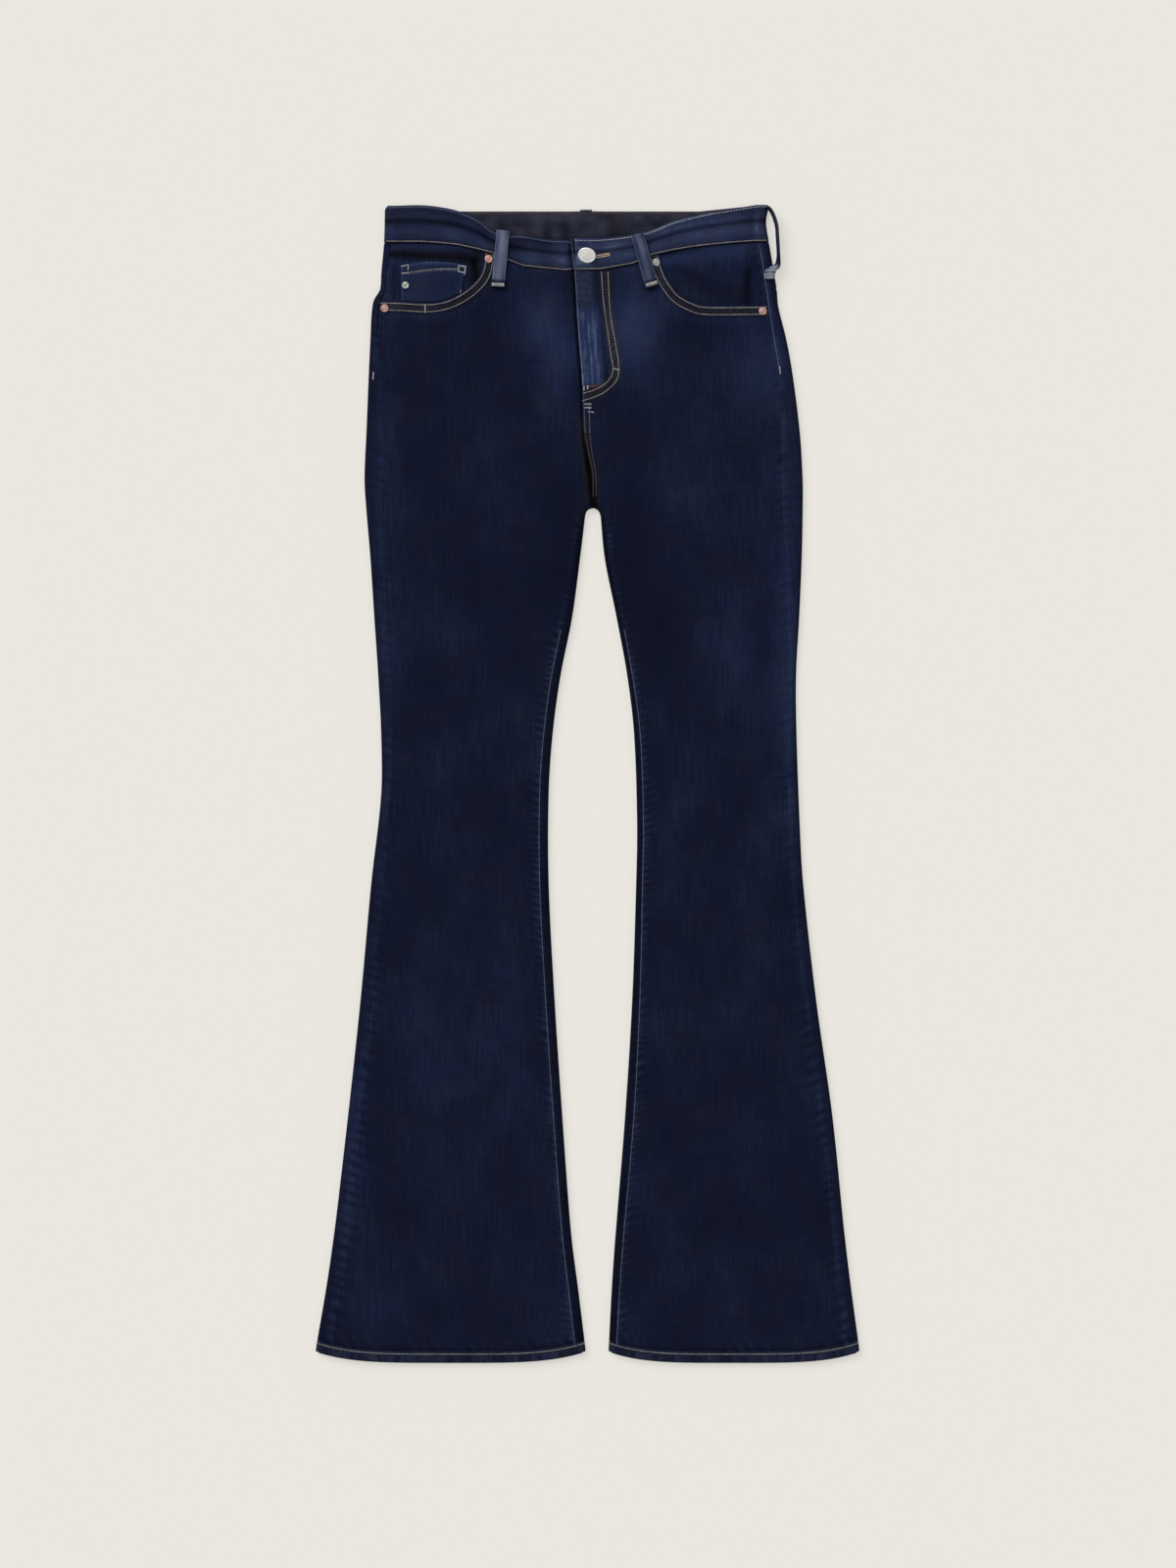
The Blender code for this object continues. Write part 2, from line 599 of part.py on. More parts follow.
def pocket_facing(side):
    """What shows inside the front pocket's opening."""
    edge_x = side.facing_edge[-1][0]
    stations = [b.x for b in side.band if side.sign * (b.x - edge_x) > 3
                and side.sign * (outseam(side, BAND_SIDE_Y) - b.x) > 4]
    stations.sort(key=lambda x: -side.sign * x)
    top_y = waist_seam(side, outseam(side, BAND_SIDE_Y)) - SEAM_GAP
    low_y = straight(side.facing_edge, outseam(side, side.scoop[0][1]))
    heights = (top_y, FACING_MID_Y, YOKE_SIDE_Y, side.scoop[0][1], low_y)
    levels = [(top_y - y) / (top_y - low_y) for y in heights]
    pairs = []
    for level in levels:
        y = mix(top_y, low_y, level)
        inset = 2 * SEAM_GAP if y >= side.scoop[0][1] - 1 else 6 * SEAM_GAP
        line = [(outseam(side, y) - side.sign * inset, y)]
        for x in stations + [edge_x]:
            line.append((x, mix(waist_seam(side, x) - SEAM_GAP, straight(side.facing_edge, x), level)))
        pairs.append([])
        for x, y in line:
            z = upper_face(x, y) + facing_lift(side, x, y)
            pairs[-1].append(((x, y, z), (x, y, z - DENIM)))
    return wall(f"pocket_facing_{side.name}", *split(pairs), denim())


COIN_LEFT_X, COIN_RIGHT_X, COIN_LOW_RIGHT_X, COIN_TOP_Y = -183.3, -118.2, -125.0, 510.2
COIN_ARCH, COIN_WALL, COIN_COLUMNS, COIN_ROWS = 3.5, 1.1, 5, 3
COIN_TO_SCOOP = 1.2       # it ends just above the front's edge


def coin_pocket():
    """Small pocket on the right facing, its lower edge along the opening."""
    pairs = []
    for i in range(COIN_ROWS + 1):
        line, v = [], i / COIN_ROWS
        right = mix(COIN_RIGHT_X, COIN_LOW_RIGHT_X, v)
        for j in range(COIN_COLUMNS + 1):
            u = j / COIN_COLUMNS
            x = mix(COIN_LEFT_X, right, u)
            high = COIN_TOP_Y + COIN_ARCH * math.sin(math.pi * u)
            y = mix(high, straight(RIGHT_SCOOP, x) + COIN_TO_SCOOP, v)
            z = upper_face(x, y) + facing_lift(RIGHT, x, y) + REST_GAP
            line.append(((x, y, z + COIN_WALL), (x, y, z)))
        pairs.append(line)
    return wall("coin_pocket", *split(pairs), denim())


def waistband():
    """One strip from the underlap at the fly round the back to the lapped end."""
    def front_part(side):
        line = []
        for b in side.band:
            column = []
            for v in BAND_LEVELS:
                lean = -LAP_LEAN * v if side is LEFT and b is side.band[0] else 0.0
                z = b.face - b.crease * math.exp(-((v - 0.5) / CREASE_WIDTH) ** 2)
                y = mix(b.seam, b.top, v)
                column.append(((b.x + lean, y, z), (b.x + lean, y, z - BAND_WALL)))
            line.append(column)
        return line

    def fold_part(side):
        last, line = side.band[-1], []
        for k in range(CAP_STEPS + 1):
            turn = k / CAP_STEPS
            column = []
            for v in BAND_LEVELS:
                y = mix(last.seam, last.top, v)
                edge_x = outer_fold(side, y)
                column.append(fold_point(edge_x, side.sign, y, turn, BAND_FOLD_RADIUS, BAND_WALL))
            line.append(column)
        return line

    back = []
    for x in BACK_STOPS:
        side = RIGHT if x < CROTCH_X else LEFT
        seam = back_height(side, x, side.band[-1].seam, BACK_SEAM_Y)
        top = back_height(side, x, side.band[-1].top, BACK_TOP_Y)
        back.append([under_point(x, mix(seam, top, v), BAND_WALL) for v in BAND_LEVELS])
    strip = (front_part(RIGHT) + fold_part(RIGHT) + back
             + fold_part(LEFT)[::-1] + front_part(LEFT)[::-1])
    return wall("waistband", *split(strip), denim())


def hem(side):
    """The turned-up hem, one band round the leg's opening."""
    pairs = []
    radius = FOLD_RADIUS + HEM_LIFT / 2
    shares = [(1 - math.cos(math.pi * k / HEM_ACROSS)) / 2 for k in range(HEM_ACROSS + 1)]
    for row in HEM_ROWS:
        outer, inner = outer_fold(side, row.y), inner_fold(side, row.y)
        a, b = outer - side.sign * radius, inner + side.sign * radius
        line = []
        for share in shares:
            x = mix(b, a, share)
            y = row_height(side, row, x)
            z = upper_face(x, y) + HEM_LIFT
            line.append(((x, y, z), (x, y, z - HEM_WALL)))
        line += [fold_point(outer, side.sign, row_height(side, row, outer), k / CAP_STEPS, radius, HEM_WALL)
                 for k in range(1, CAP_STEPS)]
        for share in shares:
            x = mix(a, b, share)
            y = row_height(side, row, x)
            line.append(((x, y, 0.0), (x, y, HEM_WALL)))
        line += [fold_point(inner, -side.sign, row_height(side, row, inner), 1 - k / CAP_STEPS,
                            radius, HEM_WALL) for k in range(1, CAP_STEPS)]
        pairs.append(line)
    return wall(f"hem_{side.name}", *split(pairs), denim(), ring=True)


def back_pocket(side):
    """A five-sided patch under the seat, point towards the hem."""
    half, low = POCKET_WIDTH / 2, POCKET_LOW_WIDTH / 2
    corners = ((-half, POCKET_TOP), (half, POCKET_TOP), (low, POCKET_CORNER_Y), (0, POCKET_BOTTOM),
               (-low, POCKET_CORNER_Y))
    points = [(side.pocket_x + x, y, z) for z in (0.0, PATCH) for x, y in corners]
    count = len(corners)
    faces = [list(range(count)), [count + k for k in reversed(range(count))]]
    faces += [[k, (k + 1) % count, count + (k + 1) % count, count + k] for k in range(count)]
    return add_object(f"back_pocket_{side.name}", points, faces, denim())


# ---------------------------------------------------------------- belt loops
LOOP_WALL = 1.6
FRONT_LOOPS = {           # top and bottom ends as (x, y), and the band's face there
    "belt_loop_front_right": ((-83.0, 544.0), (-88.0, 489.5), 7.7),
    "belt_loop_front_left": ((49.0, 540.6), (63.5, 489.5), 8.35),
}
# Down a front loop from its top: how far along, the share that the panel has
# in the surface below (the band has the rest), the height over that surface,
# and the thickness as a share of the loop's wall. Both ends are folded under.
Station = namedtuple("Station", "along panel over wall")
LOOP_STATIONS = (
    Station(0, 0, 0, 1.0), Station(0.8, 0, 0.4, 1.5), Station(3.5, 0, 0.65, 1.4),
    Station(5, 0, 0.9, 1.0), Station(12, 0, 1.3, 1.0), Station(22, 0, 1.3, 1.0),
    Station(32, 0, 0.5, 1.0), Station(40, 0.5, 0, 1.0), Station(46, 1, 0, 1.0),
    Station(47.5, 1, 0.4, 1.55), Station(52, 1, 0.4, 1.55), Station(53.1, 1, 0, 1.0),
)


def front_loop(name):
    top, bottom, face = FRONT_LOOPS[name]
    length = math.dist(top, bottom)
    down = ((bottom[0] - top[0]) / length, (bottom[1] - top[1]) / length)
    scale = length / LOOP_STATIONS[-1].along
    across = (-down[1], down[0], 0.0)
    side = RIGHT if bottom[0] < CROTCH_X else LEFT
    near = [(bottom[0] + dx, bottom[1] + dy) for dx in (-8, 0, 8) for dy in (-2, 4, 10)]
    panel = max(upper_face(*p) + front_lift(side, *p) for p in near)
    rest = LOOP_WALL / 2 + REST_GAP
    path = [(top[0] + down[0] * scale * s.along, top[1] + down[1] * scale * s.along,
             mix(face, panel, s.panel) + rest + s.over) for s in LOOP_STATIONS]
    return ribbon(name, path, [across] * len(path), [LOOP_WALL * s.wall for s in LOOP_STATIONS],
                  LOOP_WIDTH, loop_denim())


# The left side's loop stands off the fold. Each row: place, then how far its
# width is turned up from level, in degrees.
Stand = namedtuple("Stand", "x y z turn")
SIDE_LOOP = (
    Stand(181.2, 567.4, 6.6, 80), Stand(183.4, 563.4, 6.6, 80), Stand(185.2, 556.0, 6.6, 80),
    Stand(186.8, 548.0, 6.6, 80), Stand(188.0, 539.0, 6.6, 80), Stand(189.0, 530.0, 6.6, 80),
    Stand(190.2, 521.0, 6.7, 80), Stand(191.0, 514.0, 7.2, 72), Stand(190.4, 509.5, 8.6, 46),
    Stand(187.6, 505.5, 9.9, 20), Stand(184.4, 502.0, 9.3, 8), Stand(182.4, 498.5, 8.6, 0),
    Stand(181.4, 495.5, 8.4, 0),
)
SIDE_LOOP_WALL, SIDE_LOOP_WIDTH = 2.6, 11.0


def side_loop_left():
    path = [(s.x, s.y, s.z) for s in SIDE_LOOP]
    across = [(math.cos(math.radians(s.turn)), 0.0, math.sin(math.radians(s.turn))) for s in SIDE_LOOP]
    return ribbon("belt_loop_side_left", path, across, [SIDE_LOOP_WALL] * len(path), SIDE_LOOP_WIDTH,
                  loop_denim())


def under_loop(name, x):
    """A loop that lies under the band, its top end turned up over the edge."""
    edge = max(back_height(RIGHT, x + d, RIGHT_BAND[-1].top, BACK_TOP_Y)
               for d in (-LOOP_PAD_HALF, LOOP_PAD_HALF))
    tip, half = edge + SEAM_GAP + PATCH / 2, PATCH / 2
    path = [(x, LOOP_END_Y, half), (x, tip - 1.6, half), (x, tip - 0.1, half + 0.5),
            (x, tip + 0.1, 2.2), (x, tip + 0.1, 2 * BAND_WALL)]
    return ribbon(name, path, [(1.0, 0.0, 0.0)] * len(path), [PATCH] * len(path), LOOP_WIDTH - 0.5,
                  loop_denim())


# ---------------------------------------------------------------- metal pieces
BUTTON_AT = (-0.5, 520.0)
BUTTON_TILT = math.radians(24)
BUTTON_CAP = 3            # the rings from this one on lean back
RIVETS = {"rivet_right_waist": ((-97.2, 516.4), RIGHT), "rivet_right_side": ((-199.5, 468.0), RIGHT),
          "rivet_left_waist": ((67.4, 513.0), LEFT), "rivet_left_side": ((172.4, 465.0), LEFT)}
STUD_AT, STUD_SCALE = (-179.0, 490.5), 0.9
RIVET_SIDES, BUTTON_SIDES = 10, 16
RIVET_PROFILE = ((0, 0), (3.9, 0), (3.9, 0.5), (3.2, 1.1), (1.8, 0.8), (1.2, 1.5), (0, 1.7))
BUTTON_PROFILE = ((0, 0), (3.4, 0), (3.0, 2.6), (7.6, 3.0), (8.4, 3.6), (8.2, 4.4), (7.0, 5.0),
                  (3.5, 5.4), (0, 5.5))


def button():
    top = max(b.face for b in LEFT_BAND) + SEAM_GAP
    return turned("button", (*BUTTON_AT, top), BUTTON_PROFILE, BUTTON_SIDES,
                  material("silver", SILVER, 0.3, 1.0), BUTTON_TILT, BUTTON_CAP)


def rivet(name):
    (x, y), side = RIVETS[name]
    nearby = [(x + dx, y + dy) for dx in (-4, 0, 4) for dy in (-4, 0, 4)]
    top = max(upper_face(*p) + front_lift(side, *p) for p in nearby) + SEAM_GAP
    color = STEEL if name == "rivet_left_waist" else COPPER
    finish = "steel" if name == "rivet_left_waist" else "copper"
    return turned(name, (x, y, top), RIVET_PROFILE, RIVET_SIDES, material(finish, color, 0.35, 1.0))


def coin_stud():
    x, y = STUD_AT
    top = max(upper_face(x + d, y + e) + facing_lift(RIGHT, x + d, y + e) for d in (-4, 4) for e in (-4, 4))
    profile = [(r * STUD_SCALE, h) for r, h in RIVET_PROFILE]
    return turned("coin_pocket_stud", (x, y, top + REST_GAP + COIN_WALL + SEAM_GAP), profile, RIVET_SIDES,
                  material("steel", STEEL, 0.35, 1.0))


def main():
    for obj in list(bpy.data.objects):
        bpy.data.objects.remove(obj, do_unlink=True)
    for side in SIDES:
        front_panel(side)
        back_panel(side)
        back_yoke(side)
        pocket_facing(side)
        back_pocket(side)
        hem(side)
    coin_pocket()
    waistband()
    for name in FRONT_LOOPS:
        front_loop(name)
    side_loop_left()
    under_loop("belt_loop_side_right", SIDE_LOOP_X)
    under_loop("belt_loop_centre_back", CENTRE_LOOP_X)
    button()
    coin_stud()
    for name in RIVETS:
        rivet(name)


main()
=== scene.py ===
import math
from collections import namedtuple
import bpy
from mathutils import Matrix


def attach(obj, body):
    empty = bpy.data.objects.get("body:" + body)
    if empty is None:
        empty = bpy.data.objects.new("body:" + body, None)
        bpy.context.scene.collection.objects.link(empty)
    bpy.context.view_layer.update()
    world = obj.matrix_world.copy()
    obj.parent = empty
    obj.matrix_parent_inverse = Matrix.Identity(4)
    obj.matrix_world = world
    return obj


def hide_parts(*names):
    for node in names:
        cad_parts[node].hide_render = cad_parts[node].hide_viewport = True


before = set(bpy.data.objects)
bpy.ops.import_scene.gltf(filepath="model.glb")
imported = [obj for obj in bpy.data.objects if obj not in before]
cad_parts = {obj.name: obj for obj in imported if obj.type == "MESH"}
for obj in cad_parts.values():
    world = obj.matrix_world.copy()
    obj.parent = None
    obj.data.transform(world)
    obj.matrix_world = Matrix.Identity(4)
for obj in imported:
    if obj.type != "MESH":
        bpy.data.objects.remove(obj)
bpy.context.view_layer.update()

from types import SimpleNamespace

import bmesh
import bpy
import numpy as np
from mathutils import Vector
from mathutils.bvhtree import BVHTree

scene = bpy.context.scene
mm = 0.001    # the sizes below are in millimetres

cloth = {
    "denim": 1.3, "band": 2.2, "hem": 2.2, "coin": 1.1, "patch": 1.4,    # walls
    "seamGap": 0.12, "foldRadius": 3.1, "bandFoldRadius": 4.0, "foldFade": 14.0,
    "edgeRound": 0.34, "edgeReach": 0.7,    # a cut edge is rounded off this much
    "grid": 2.4,    # size of a mesh cell
}
foldTop = 2 * cloth["foldRadius"]
garment = {
    "crotchX": 4.3, "hemY": -569.6, "hemHeight": 11.0, "hemGap": -0.8, "hemLift": 0.8,
    "hemRise": 11.0, "hemPower": 4.0, "seatY": 438.0,
    "archX": 5.2, "archY": 264.0, "archRadius": 7.2, "archSeam": 4.2,    # the gap between the legs ends round
    "backSeamY": 529.0, "backTopY": 563.6, "bandSideY": 532.0,
    "yokeSideY": 487.0, "yokeCentreY": 451.0, "yokeLevelX": 169.0,
    "scoopBand": 9.0, "scoopLift": 0.7, "scoopFade": 2.5,
    "facingSink": 1.9, "facingRise": 1.5, "facingClear": 5.0, "facingRun": 24.0,
    "flyWidth": 36.0, "flyEndY": 378.0, "flyLift": 0.8, "flyFade": 16.0, "flyTopY": 505.0,
    "lapLean": 3.0, "lapReach": 12.0, "bandCorner": 2.6,
}
under = {    # what lies under the back, and how the cloth rises over it
    "rise": 1.7, "loopHalf": 7.0, "loopRamp": 12.0, "loopEndY": 511.0, "loopPadY": 503.0,
    "centreLoopX": -1.4, "sideLoopX": -165.0,
    "pocketX": 100.0, "pocketWidth": 134.0, "pocketTop": 436.0, "pocketBottom": 290.0,
    "pocketLowWidth": 114.0, "pocketCornerY": 318.0, "pocketMargin": 2.0, "pocketRamp": 14.0,
}

Section = namedtuple("Section", "y outer inner outseam inseam")
Band = namedtuple("Band", "x seam top face crease")
Fold = namedtuple("Fold", "x0 y0 x1 y1 width height")
Worn = namedtuple("Worn", "x y wide high amount")


def table(kind, rows):
    return [kind(*row) for row in rows]


rightSections = table(Section, [
    (566, -199.4, 1.5, 5.6, 4.2), (534, -200.2, 1.5, 6.2, 4.2), (503, -203.0, 1.5, 5.2, 4.2),
    (487, -204.3, 1.5, 4.6, 4.2), (474, -211.0, 1.5, 6.5, 4.2), (438, -213.7, 1.5, 6.7, 4.2),
    (347, -217.6, 1.5, 15.4, 4.2), (300, -219.5, 1.5, 15.5, 4.2), (271, -217.8, -1.4, 14.0, 4.2),
    (222, -213.7, -7.2, 12.0, 6.0), (164, -209.9, -15.0, 10.0, 7.7), (106, -206.0, -26.5, 8.5, 7.7),
    (48, -203.1, -34.3, 7.7, 7.7), (-10, -203.1, -38.1, 8.0, 7.7), (-97, -212.8, -38.1, 10.0, 7.7),
    (-212, -223.4, -32.3, 11.6, 7.7), (-328, -235.9, -24.6, 11.6, 7.7), (-444, -249.5, -15.9, 11.6, 7.7),
    (-502, -257.2, -9.2, 11.6, 7.7), (-570, -267.8, -1.6, 11.6, 7.7)])
leftSections = table(Section, [
    (566, 178.0, 7.5, 10.6, 4.2), (553, 175.8, 7.5, 10.8, 4.2), (534, 178.4, 7.5, 11.0, 4.2),
    (513, 182.0, 7.5, 11.2, 4.2), (487, 186.2, 7.5, 11.4, 4.2), (470, 187.8, 7.5, 10.6, 4.2),
    (438, 195.6, 7.5, 13.2, 4.2), (405, 201.6, 7.5, 14.0, 4.2), (347, 208.9, 7.5, 17.5, 4.2),
    (300, 211.8, 7.5, 20.0, 4.2), (271, 211.9, 12.0, 19.6, 4.2), (222, 210.9, 16.9, 16.5, 4.2),
    (164, 208.4, 28.5, 11.5, 4.2), (106, 205.3, 39.1, 7.0, 4.2), (48, 205.8, 45.8, 9.0, 5.0),
    (-39, 208.9, 48.7, 11.0, 5.3), (-97, 212.2, 47.8, 11.6, 5.3), (-212, 225.0, 43.9, 11.6, 6.5),
    (-328, 241.2, 36.8, 11.6, 7.7), (-444, 253.0, 27.5, 11.6, 7.0), (-502, 259.4, 23.8, 11.6, 6.5),
    (-570, 267.8, 20.6, 11.6, 6.0)])
rightBand = table(Band, [
    (12, 505.4, 533.5, 6.3, 0.0), (-13, 505.4, 534.5, 6.3, 0.0), (-22, 504.4, 534.9, 6.4, 0.1),
    (-40, 506.1, 536.0, 6.9, 0.3), (-63, 508.3, 539.6, 7.4, 0.7), (-79, 514.6, 540.4, 7.6, 1.0),
    (-94, 521.3, 544.6, 7.7, 1.2), (-109, 525.2, 555.8, 7.8, 1.2), (-128, 529.2, 563.8, 7.9, 1.1),
    (-146, 531.0, 567.6, 8.0, 0.9), (-165, 532.1, 569.4, 8.0, 0.6), (-188, 532.1, 568.8, 8.0, 0.2)])
leftBand = table(Band, [
    (-15, 505.0, 536.5, 8.9, 0.0), (13, 505.1, 536.5, 8.9, 0.0), (45, 510.9, 540.2, 8.3, 0.4),
    (64, 519.6, 544.8, 8.0, 1.0), (84, 524.0, 553.0, 8.0, 1.2), (104, 527.3, 558.4, 8.0, 1.2),
    (118, 529.0, 561.6, 8.0, 1.1), (140, 531.2, 565.4, 8.0, 0.9), (160, 532.6, 568.6, 8.0, 0.6),
    (166, 532.9, 569.6, 8.0, 0.3)])
rightScoop = [(-204.5, 474.4), (-185, 474.2), (-160, 472.8), (-147, 473.8), (-134.5, 477.3),
              (-119.5, 485.8), (-108, 496.5), (-102.8, 507), (-100.8, 523.1)]
leftScoop = [(177.2, 470.5), (155, 470.2), (137.5, 470), (112, 470.7), (98.5, 475.8),
             (89.3, 481.6), (82.5, 490), (75.6, 501.8), (69.8, 520.5)]
rightFacingEdge = [(-215, 459), (-150, 459), (-125, 468), (-108, 482), (-94, 499), (-88, 508)]
leftFacingEdge = [(190, 456), (120, 456), (98, 463), (84, 474), (73, 488), (64, 500), (58, 506)]
centreLine = [(505, -13.3), (438, -8.7), (405, -5.9), (372, -4.5), (340, -3.4), (312, 1.0), (288, 3.9),
              (276, 5.2)]    # y, x
# the main folds, as in the solids, then the small ones: ends, half-width, height
mainFolds = table(Fold, [
    (-155, 505, -140, 500, 42, 0.7), (132, 505, 118, 500, 42, 0.7), (60, 476, 72, 392, 13, -1.2),
    (4, 288, -48, 334, 11, -0.9), (4, 288, 54, 338, 11, -0.9), (-8, 262, -66, 240, 13, -0.8),
    (18, 262, 74, 236, 13, -0.8), (-112, 410, -122, 150, 26, -0.9), (120, 395, 126, 130, 26, -0.9),
    (-60, 30, -168, 46, 18, -0.6), (72, 62, 184, 36, 18, -0.6), (-92, 4, -160, -22, 16, -0.4),
    (-118, -60, -138, -490, 30, -1.0), (128, -50, 150, -480, 30, -1.0), (-192, 446, -150, 384, 15, -0.7),
    (164, 440, 140, 372, 15, -0.7)])
smallFolds = table(Fold, [
    (-20, 470, -34, 402, 5, -0.35), (-44, 492, -60, 452, 6, -0.4), (-72, 486, -64, 440, 5, -0.3),
    (-96, 462, -84, 428, 6, -0.35), (-128, 462, -122, 436, 7, -0.3), (36, 476, 44, 420, 6, -0.4),
    (84, 462, 92, 424, 7, -0.5), (104, 460, 110, 432, 6, -0.3), (140, 460, 146, 424, 7, -0.3),
    (6, 300, -24, 322, 4, -0.6), (-2, 316, -28, 346, 4, -0.4), (10, 312, 34, 326, 4, -0.5),
    (8, 336, 40, 362, 5, -0.4), (-6, 350, -34, 368, 4, -0.3), (-16, 240, -58, 228, 5, -0.35),
    (26, 236, 66, 216, 5, -0.35), (-190, 384, -160, 352, 6, -0.35), (186, 372, 158, 340, 6, -0.35),
    (-60, 150, -100, 176, 10, -0.35), (-150, 118, -190, 96, 9, -0.3), (62, 140, 100, 168, 10, -0.35),
    (150, 110, 192, 88, 9, -0.3), (-54, 60, -120, 66, 9, -0.4), (-130, 12, -186, 26, 8, -0.3),
    (66, 92, 120, 86, 9, -0.4), (132, 16, 190, 4, 8, -0.3), (-60, -36, -110, -48, 9, -0.3),
    (70, -28, 118, -44, 9, -0.3), (-150, -150, -156, -300, 12, -0.35), (-86, -200, -84, -380, 13, -0.35),
    (-186, -330, -200, -500, 12, -0.35), (-50, -380, -44, -520, 11, -0.3), (96, -170, 92, -330, 12, -0.35),
    (180, -200, 196, -380, 12, -0.35), (70, -360, 60, -510, 11, -0.3), (212, -420, 226, -540, 10, -0.3)])
backFolds = table(Fold, [    # the back's underside stays level, so these rise into the cloth
    (30, 300, 70, 262, 7, 0.7), (-26, 300, -62, 262, 7, 0.7), (20, 330, 34, 372, 6, 0.5),
    (-14, 330, -26, 372, 6, 0.5), (-70, 40, -160, 60, 9, 0.6), (84, 50, 176, 34, 9, 0.6),
    (-64, 10, -120, -4, 8, 0.5), (70, 12, 130, 2, 8, 0.5), (-130, -120, -146, -420, 14, 0.5),
    (140, -110, 158, -430, 14, 0.5)])
wearAndShadowPatches = table(Worn, [    # where the dye has rubbed off, and where it stays dark; the narrow dark strip at x -17.6 is painted shadow beside the band's lapped end, and the two dark strips at y 487.6 are painted shadow under the belt loops' ends
    (-48, 452, 26, 40, 0.12), (46, 448, 26, 42, 0.24), (-190, 488, 12, 40, 0.05), (3, 520, 56, 14, 0.20),
    (40, 530, 30, 9, 0.13), (-46, 520, 26, 10, 0.08), (110, 548, 66, 18, 0.28), (-150, 550, 56, 18, 0.10),
    (-17.6, 520, 1.8, 15, -0.26), (168, 400, 34, 46, 0.10), (150, 300, 70, 60, 0.05),
    (-196, 150, 16, 150, 0.04), (196, 120, 14, 130, 0.10), (-232, -330, 16, 150, 0.08),
    (-196, 330, 12, 90, 0.05), (150, 120, 40, 90, 0.05), (-110, -260, 60, 120, 0.04),
    (-20, 250, 22, 60, -0.06), (-28, 414, 20, 46, 0.12), (-88, 487.6, 8, 2.4, -0.16),
    (63, 487.6, 8, 2.4, -0.16), (30, 230, 20, 60, -0.05), (-60, 200, 60, 40, -0.05),
    (60, 180, 40, 70, -0.06)])


def mix(a, b, t):
    return a + (b - a) * t


def ease(t):
    t = np.clip(t, 0.0, 1.0)
    return t * t * (3 - 2 * t)


def bell(distance, reach):    # 1 in the middle, and almost nothing at twice the reach
    return np.exp(-(distance / reach) ** 2)


def lineAt(points, at):    # straight lines through (at, value) pairs
    keys, values = zip(*sorted(points))
    return np.interp(at, keys, values)


def smoothAt(points, at):    # a smooth curve through (at, value) pairs
    keys, values = (np.array(v, float) for v in zip(*sorted(points)))
    at = np.clip(at, keys[0], keys[-1])
    low, high = np.maximum(np.arange(len(keys)) - 1, 0), np.minimum(np.arange(len(keys)) + 1, len(keys) - 1)
    slopes = (values[high] - values[low]) / (keys[high] - keys[low])
    i = np.clip(np.searchsorted(keys, at, side="right") - 1, 0, len(keys) - 2)
    step = keys[i + 1] - keys[i]
    t = (at - keys[i]) / step
    return ((2 * t**3 - 3 * t**2 + 1) * values[i] + (t**3 - 2 * t**2 + t) * step * slopes[i]
            + (3 * t**2 - 2 * t**3) * values[i + 1] + (t**3 - t**2) * step * slopes[i + 1])


def runLengths(points, axis=0):    # how far each point is along its line
    steps = np.nan_to_num(np.linalg.norm(np.diff(points, axis=axis), axis=-1))
    return np.concatenate([np.zeros_like(steps.take([0], axis)), np.cumsum(steps, axis=axis)], axis)


def walk(points, spacing, curve=smoothAt):    # an even run of points on a curve or on straight lines
    points = np.array(points, float)
    keys = runLengths(points)
    at = np.linspace(0, keys[-1], max(2, int(round(keys[-1] / spacing)) + 1))
    return np.stack([curve(list(zip(keys, points[:, k])), at) for k in range(points.shape[1])], 1)


def softNoise(x, y, size, seed):    # a smooth random field from -1 to 1
    count = 64
    grid = np.random.default_rng(seed).uniform(-1, 1, (count, count))
    u, v = np.asarray(x) / size + 31.7, np.asarray(y) / size + 17.3
    i, j = np.floor(u).astype(int), np.floor(v).astype(int)
    s, t = ease(u - i), ease(v - j)
    low = mix(grid[i % count, j % count], grid[(i + 1) % count, j % count], s)
    high = mix(grid[i % count, (j + 1) % count], grid[(i + 1) % count, (j + 1) % count], s)
    return mix(low, high, t)


def lineDistance(x, y, x0, y0, x1, y1):
    dx, dy = x1 - x0, y1 - y0
    t = np.clip(((x - x0) * dx + (y - y0) * dy) / (dx * dx + dy * dy), 0, 1)
    return np.hypot(x - x0 - t * dx, y - y0 - t * dy), t


def pathDistance(x, y, path):
    best = np.full(np.shape(x), 1e9)
    for (x0, y0), (x1, y1) in zip(path[:-1], path[1:]):
        best = np.minimum(best, lineDistance(x, y, x0, y0, x1, y1)[0])
    return best


def makeSide(name, sign, sections, band, scoop, facingEdge):
    return SimpleNamespace(name=name, sign=sign, sections=sections, band=band, facingEdge=facingEdge,
                           pocketX=sign * under["pocketX"], scoop=walk(scoop, 3.0))


def sectionAt(side, key, y):
    return smoothAt([(s.y, getattr(s, key)) for s in side.sections], y)


def bandAt(side, key, x, curve=smoothAt):
    return curve([(b.x, getattr(b, key)) for b in side.band], x)


def outerFold(side, y):
    return sectionAt(side, "outer", y)


def archHalf(y, radius):
    return np.sqrt(np.maximum(radius ** 2 - np.maximum(y - garment["archY"], 0.0) ** 2, 0.0))


def innerFold(side, y):
    arch = garment["archX"] + side.sign * archHalf(y, garment["archRadius"])
    return np.where(y > garment["archY"], arch, sectionAt(side, "inner", y))


def outseamX(side, y):
    return outerFold(side, y) - side.sign * sectionAt(side, "outseam", y)


def seamHalf(y):    # the seam runs round the arch too
    return archHalf(y, garment["archRadius"] + garment["archSeam"])


def innerEdge(side, y):    # the centre line, then the seam over the arch, then the inseam
    seam = innerFold(side, y) + side.sign * sectionAt(side, "inseam", y)
    arch = garment["archX"] + side.sign * seamHalf(y)
    return np.where(y <= garment["archY"], seam, np.where(seamHalf(y) > 0, arch, lineAt(centreLine, y)))


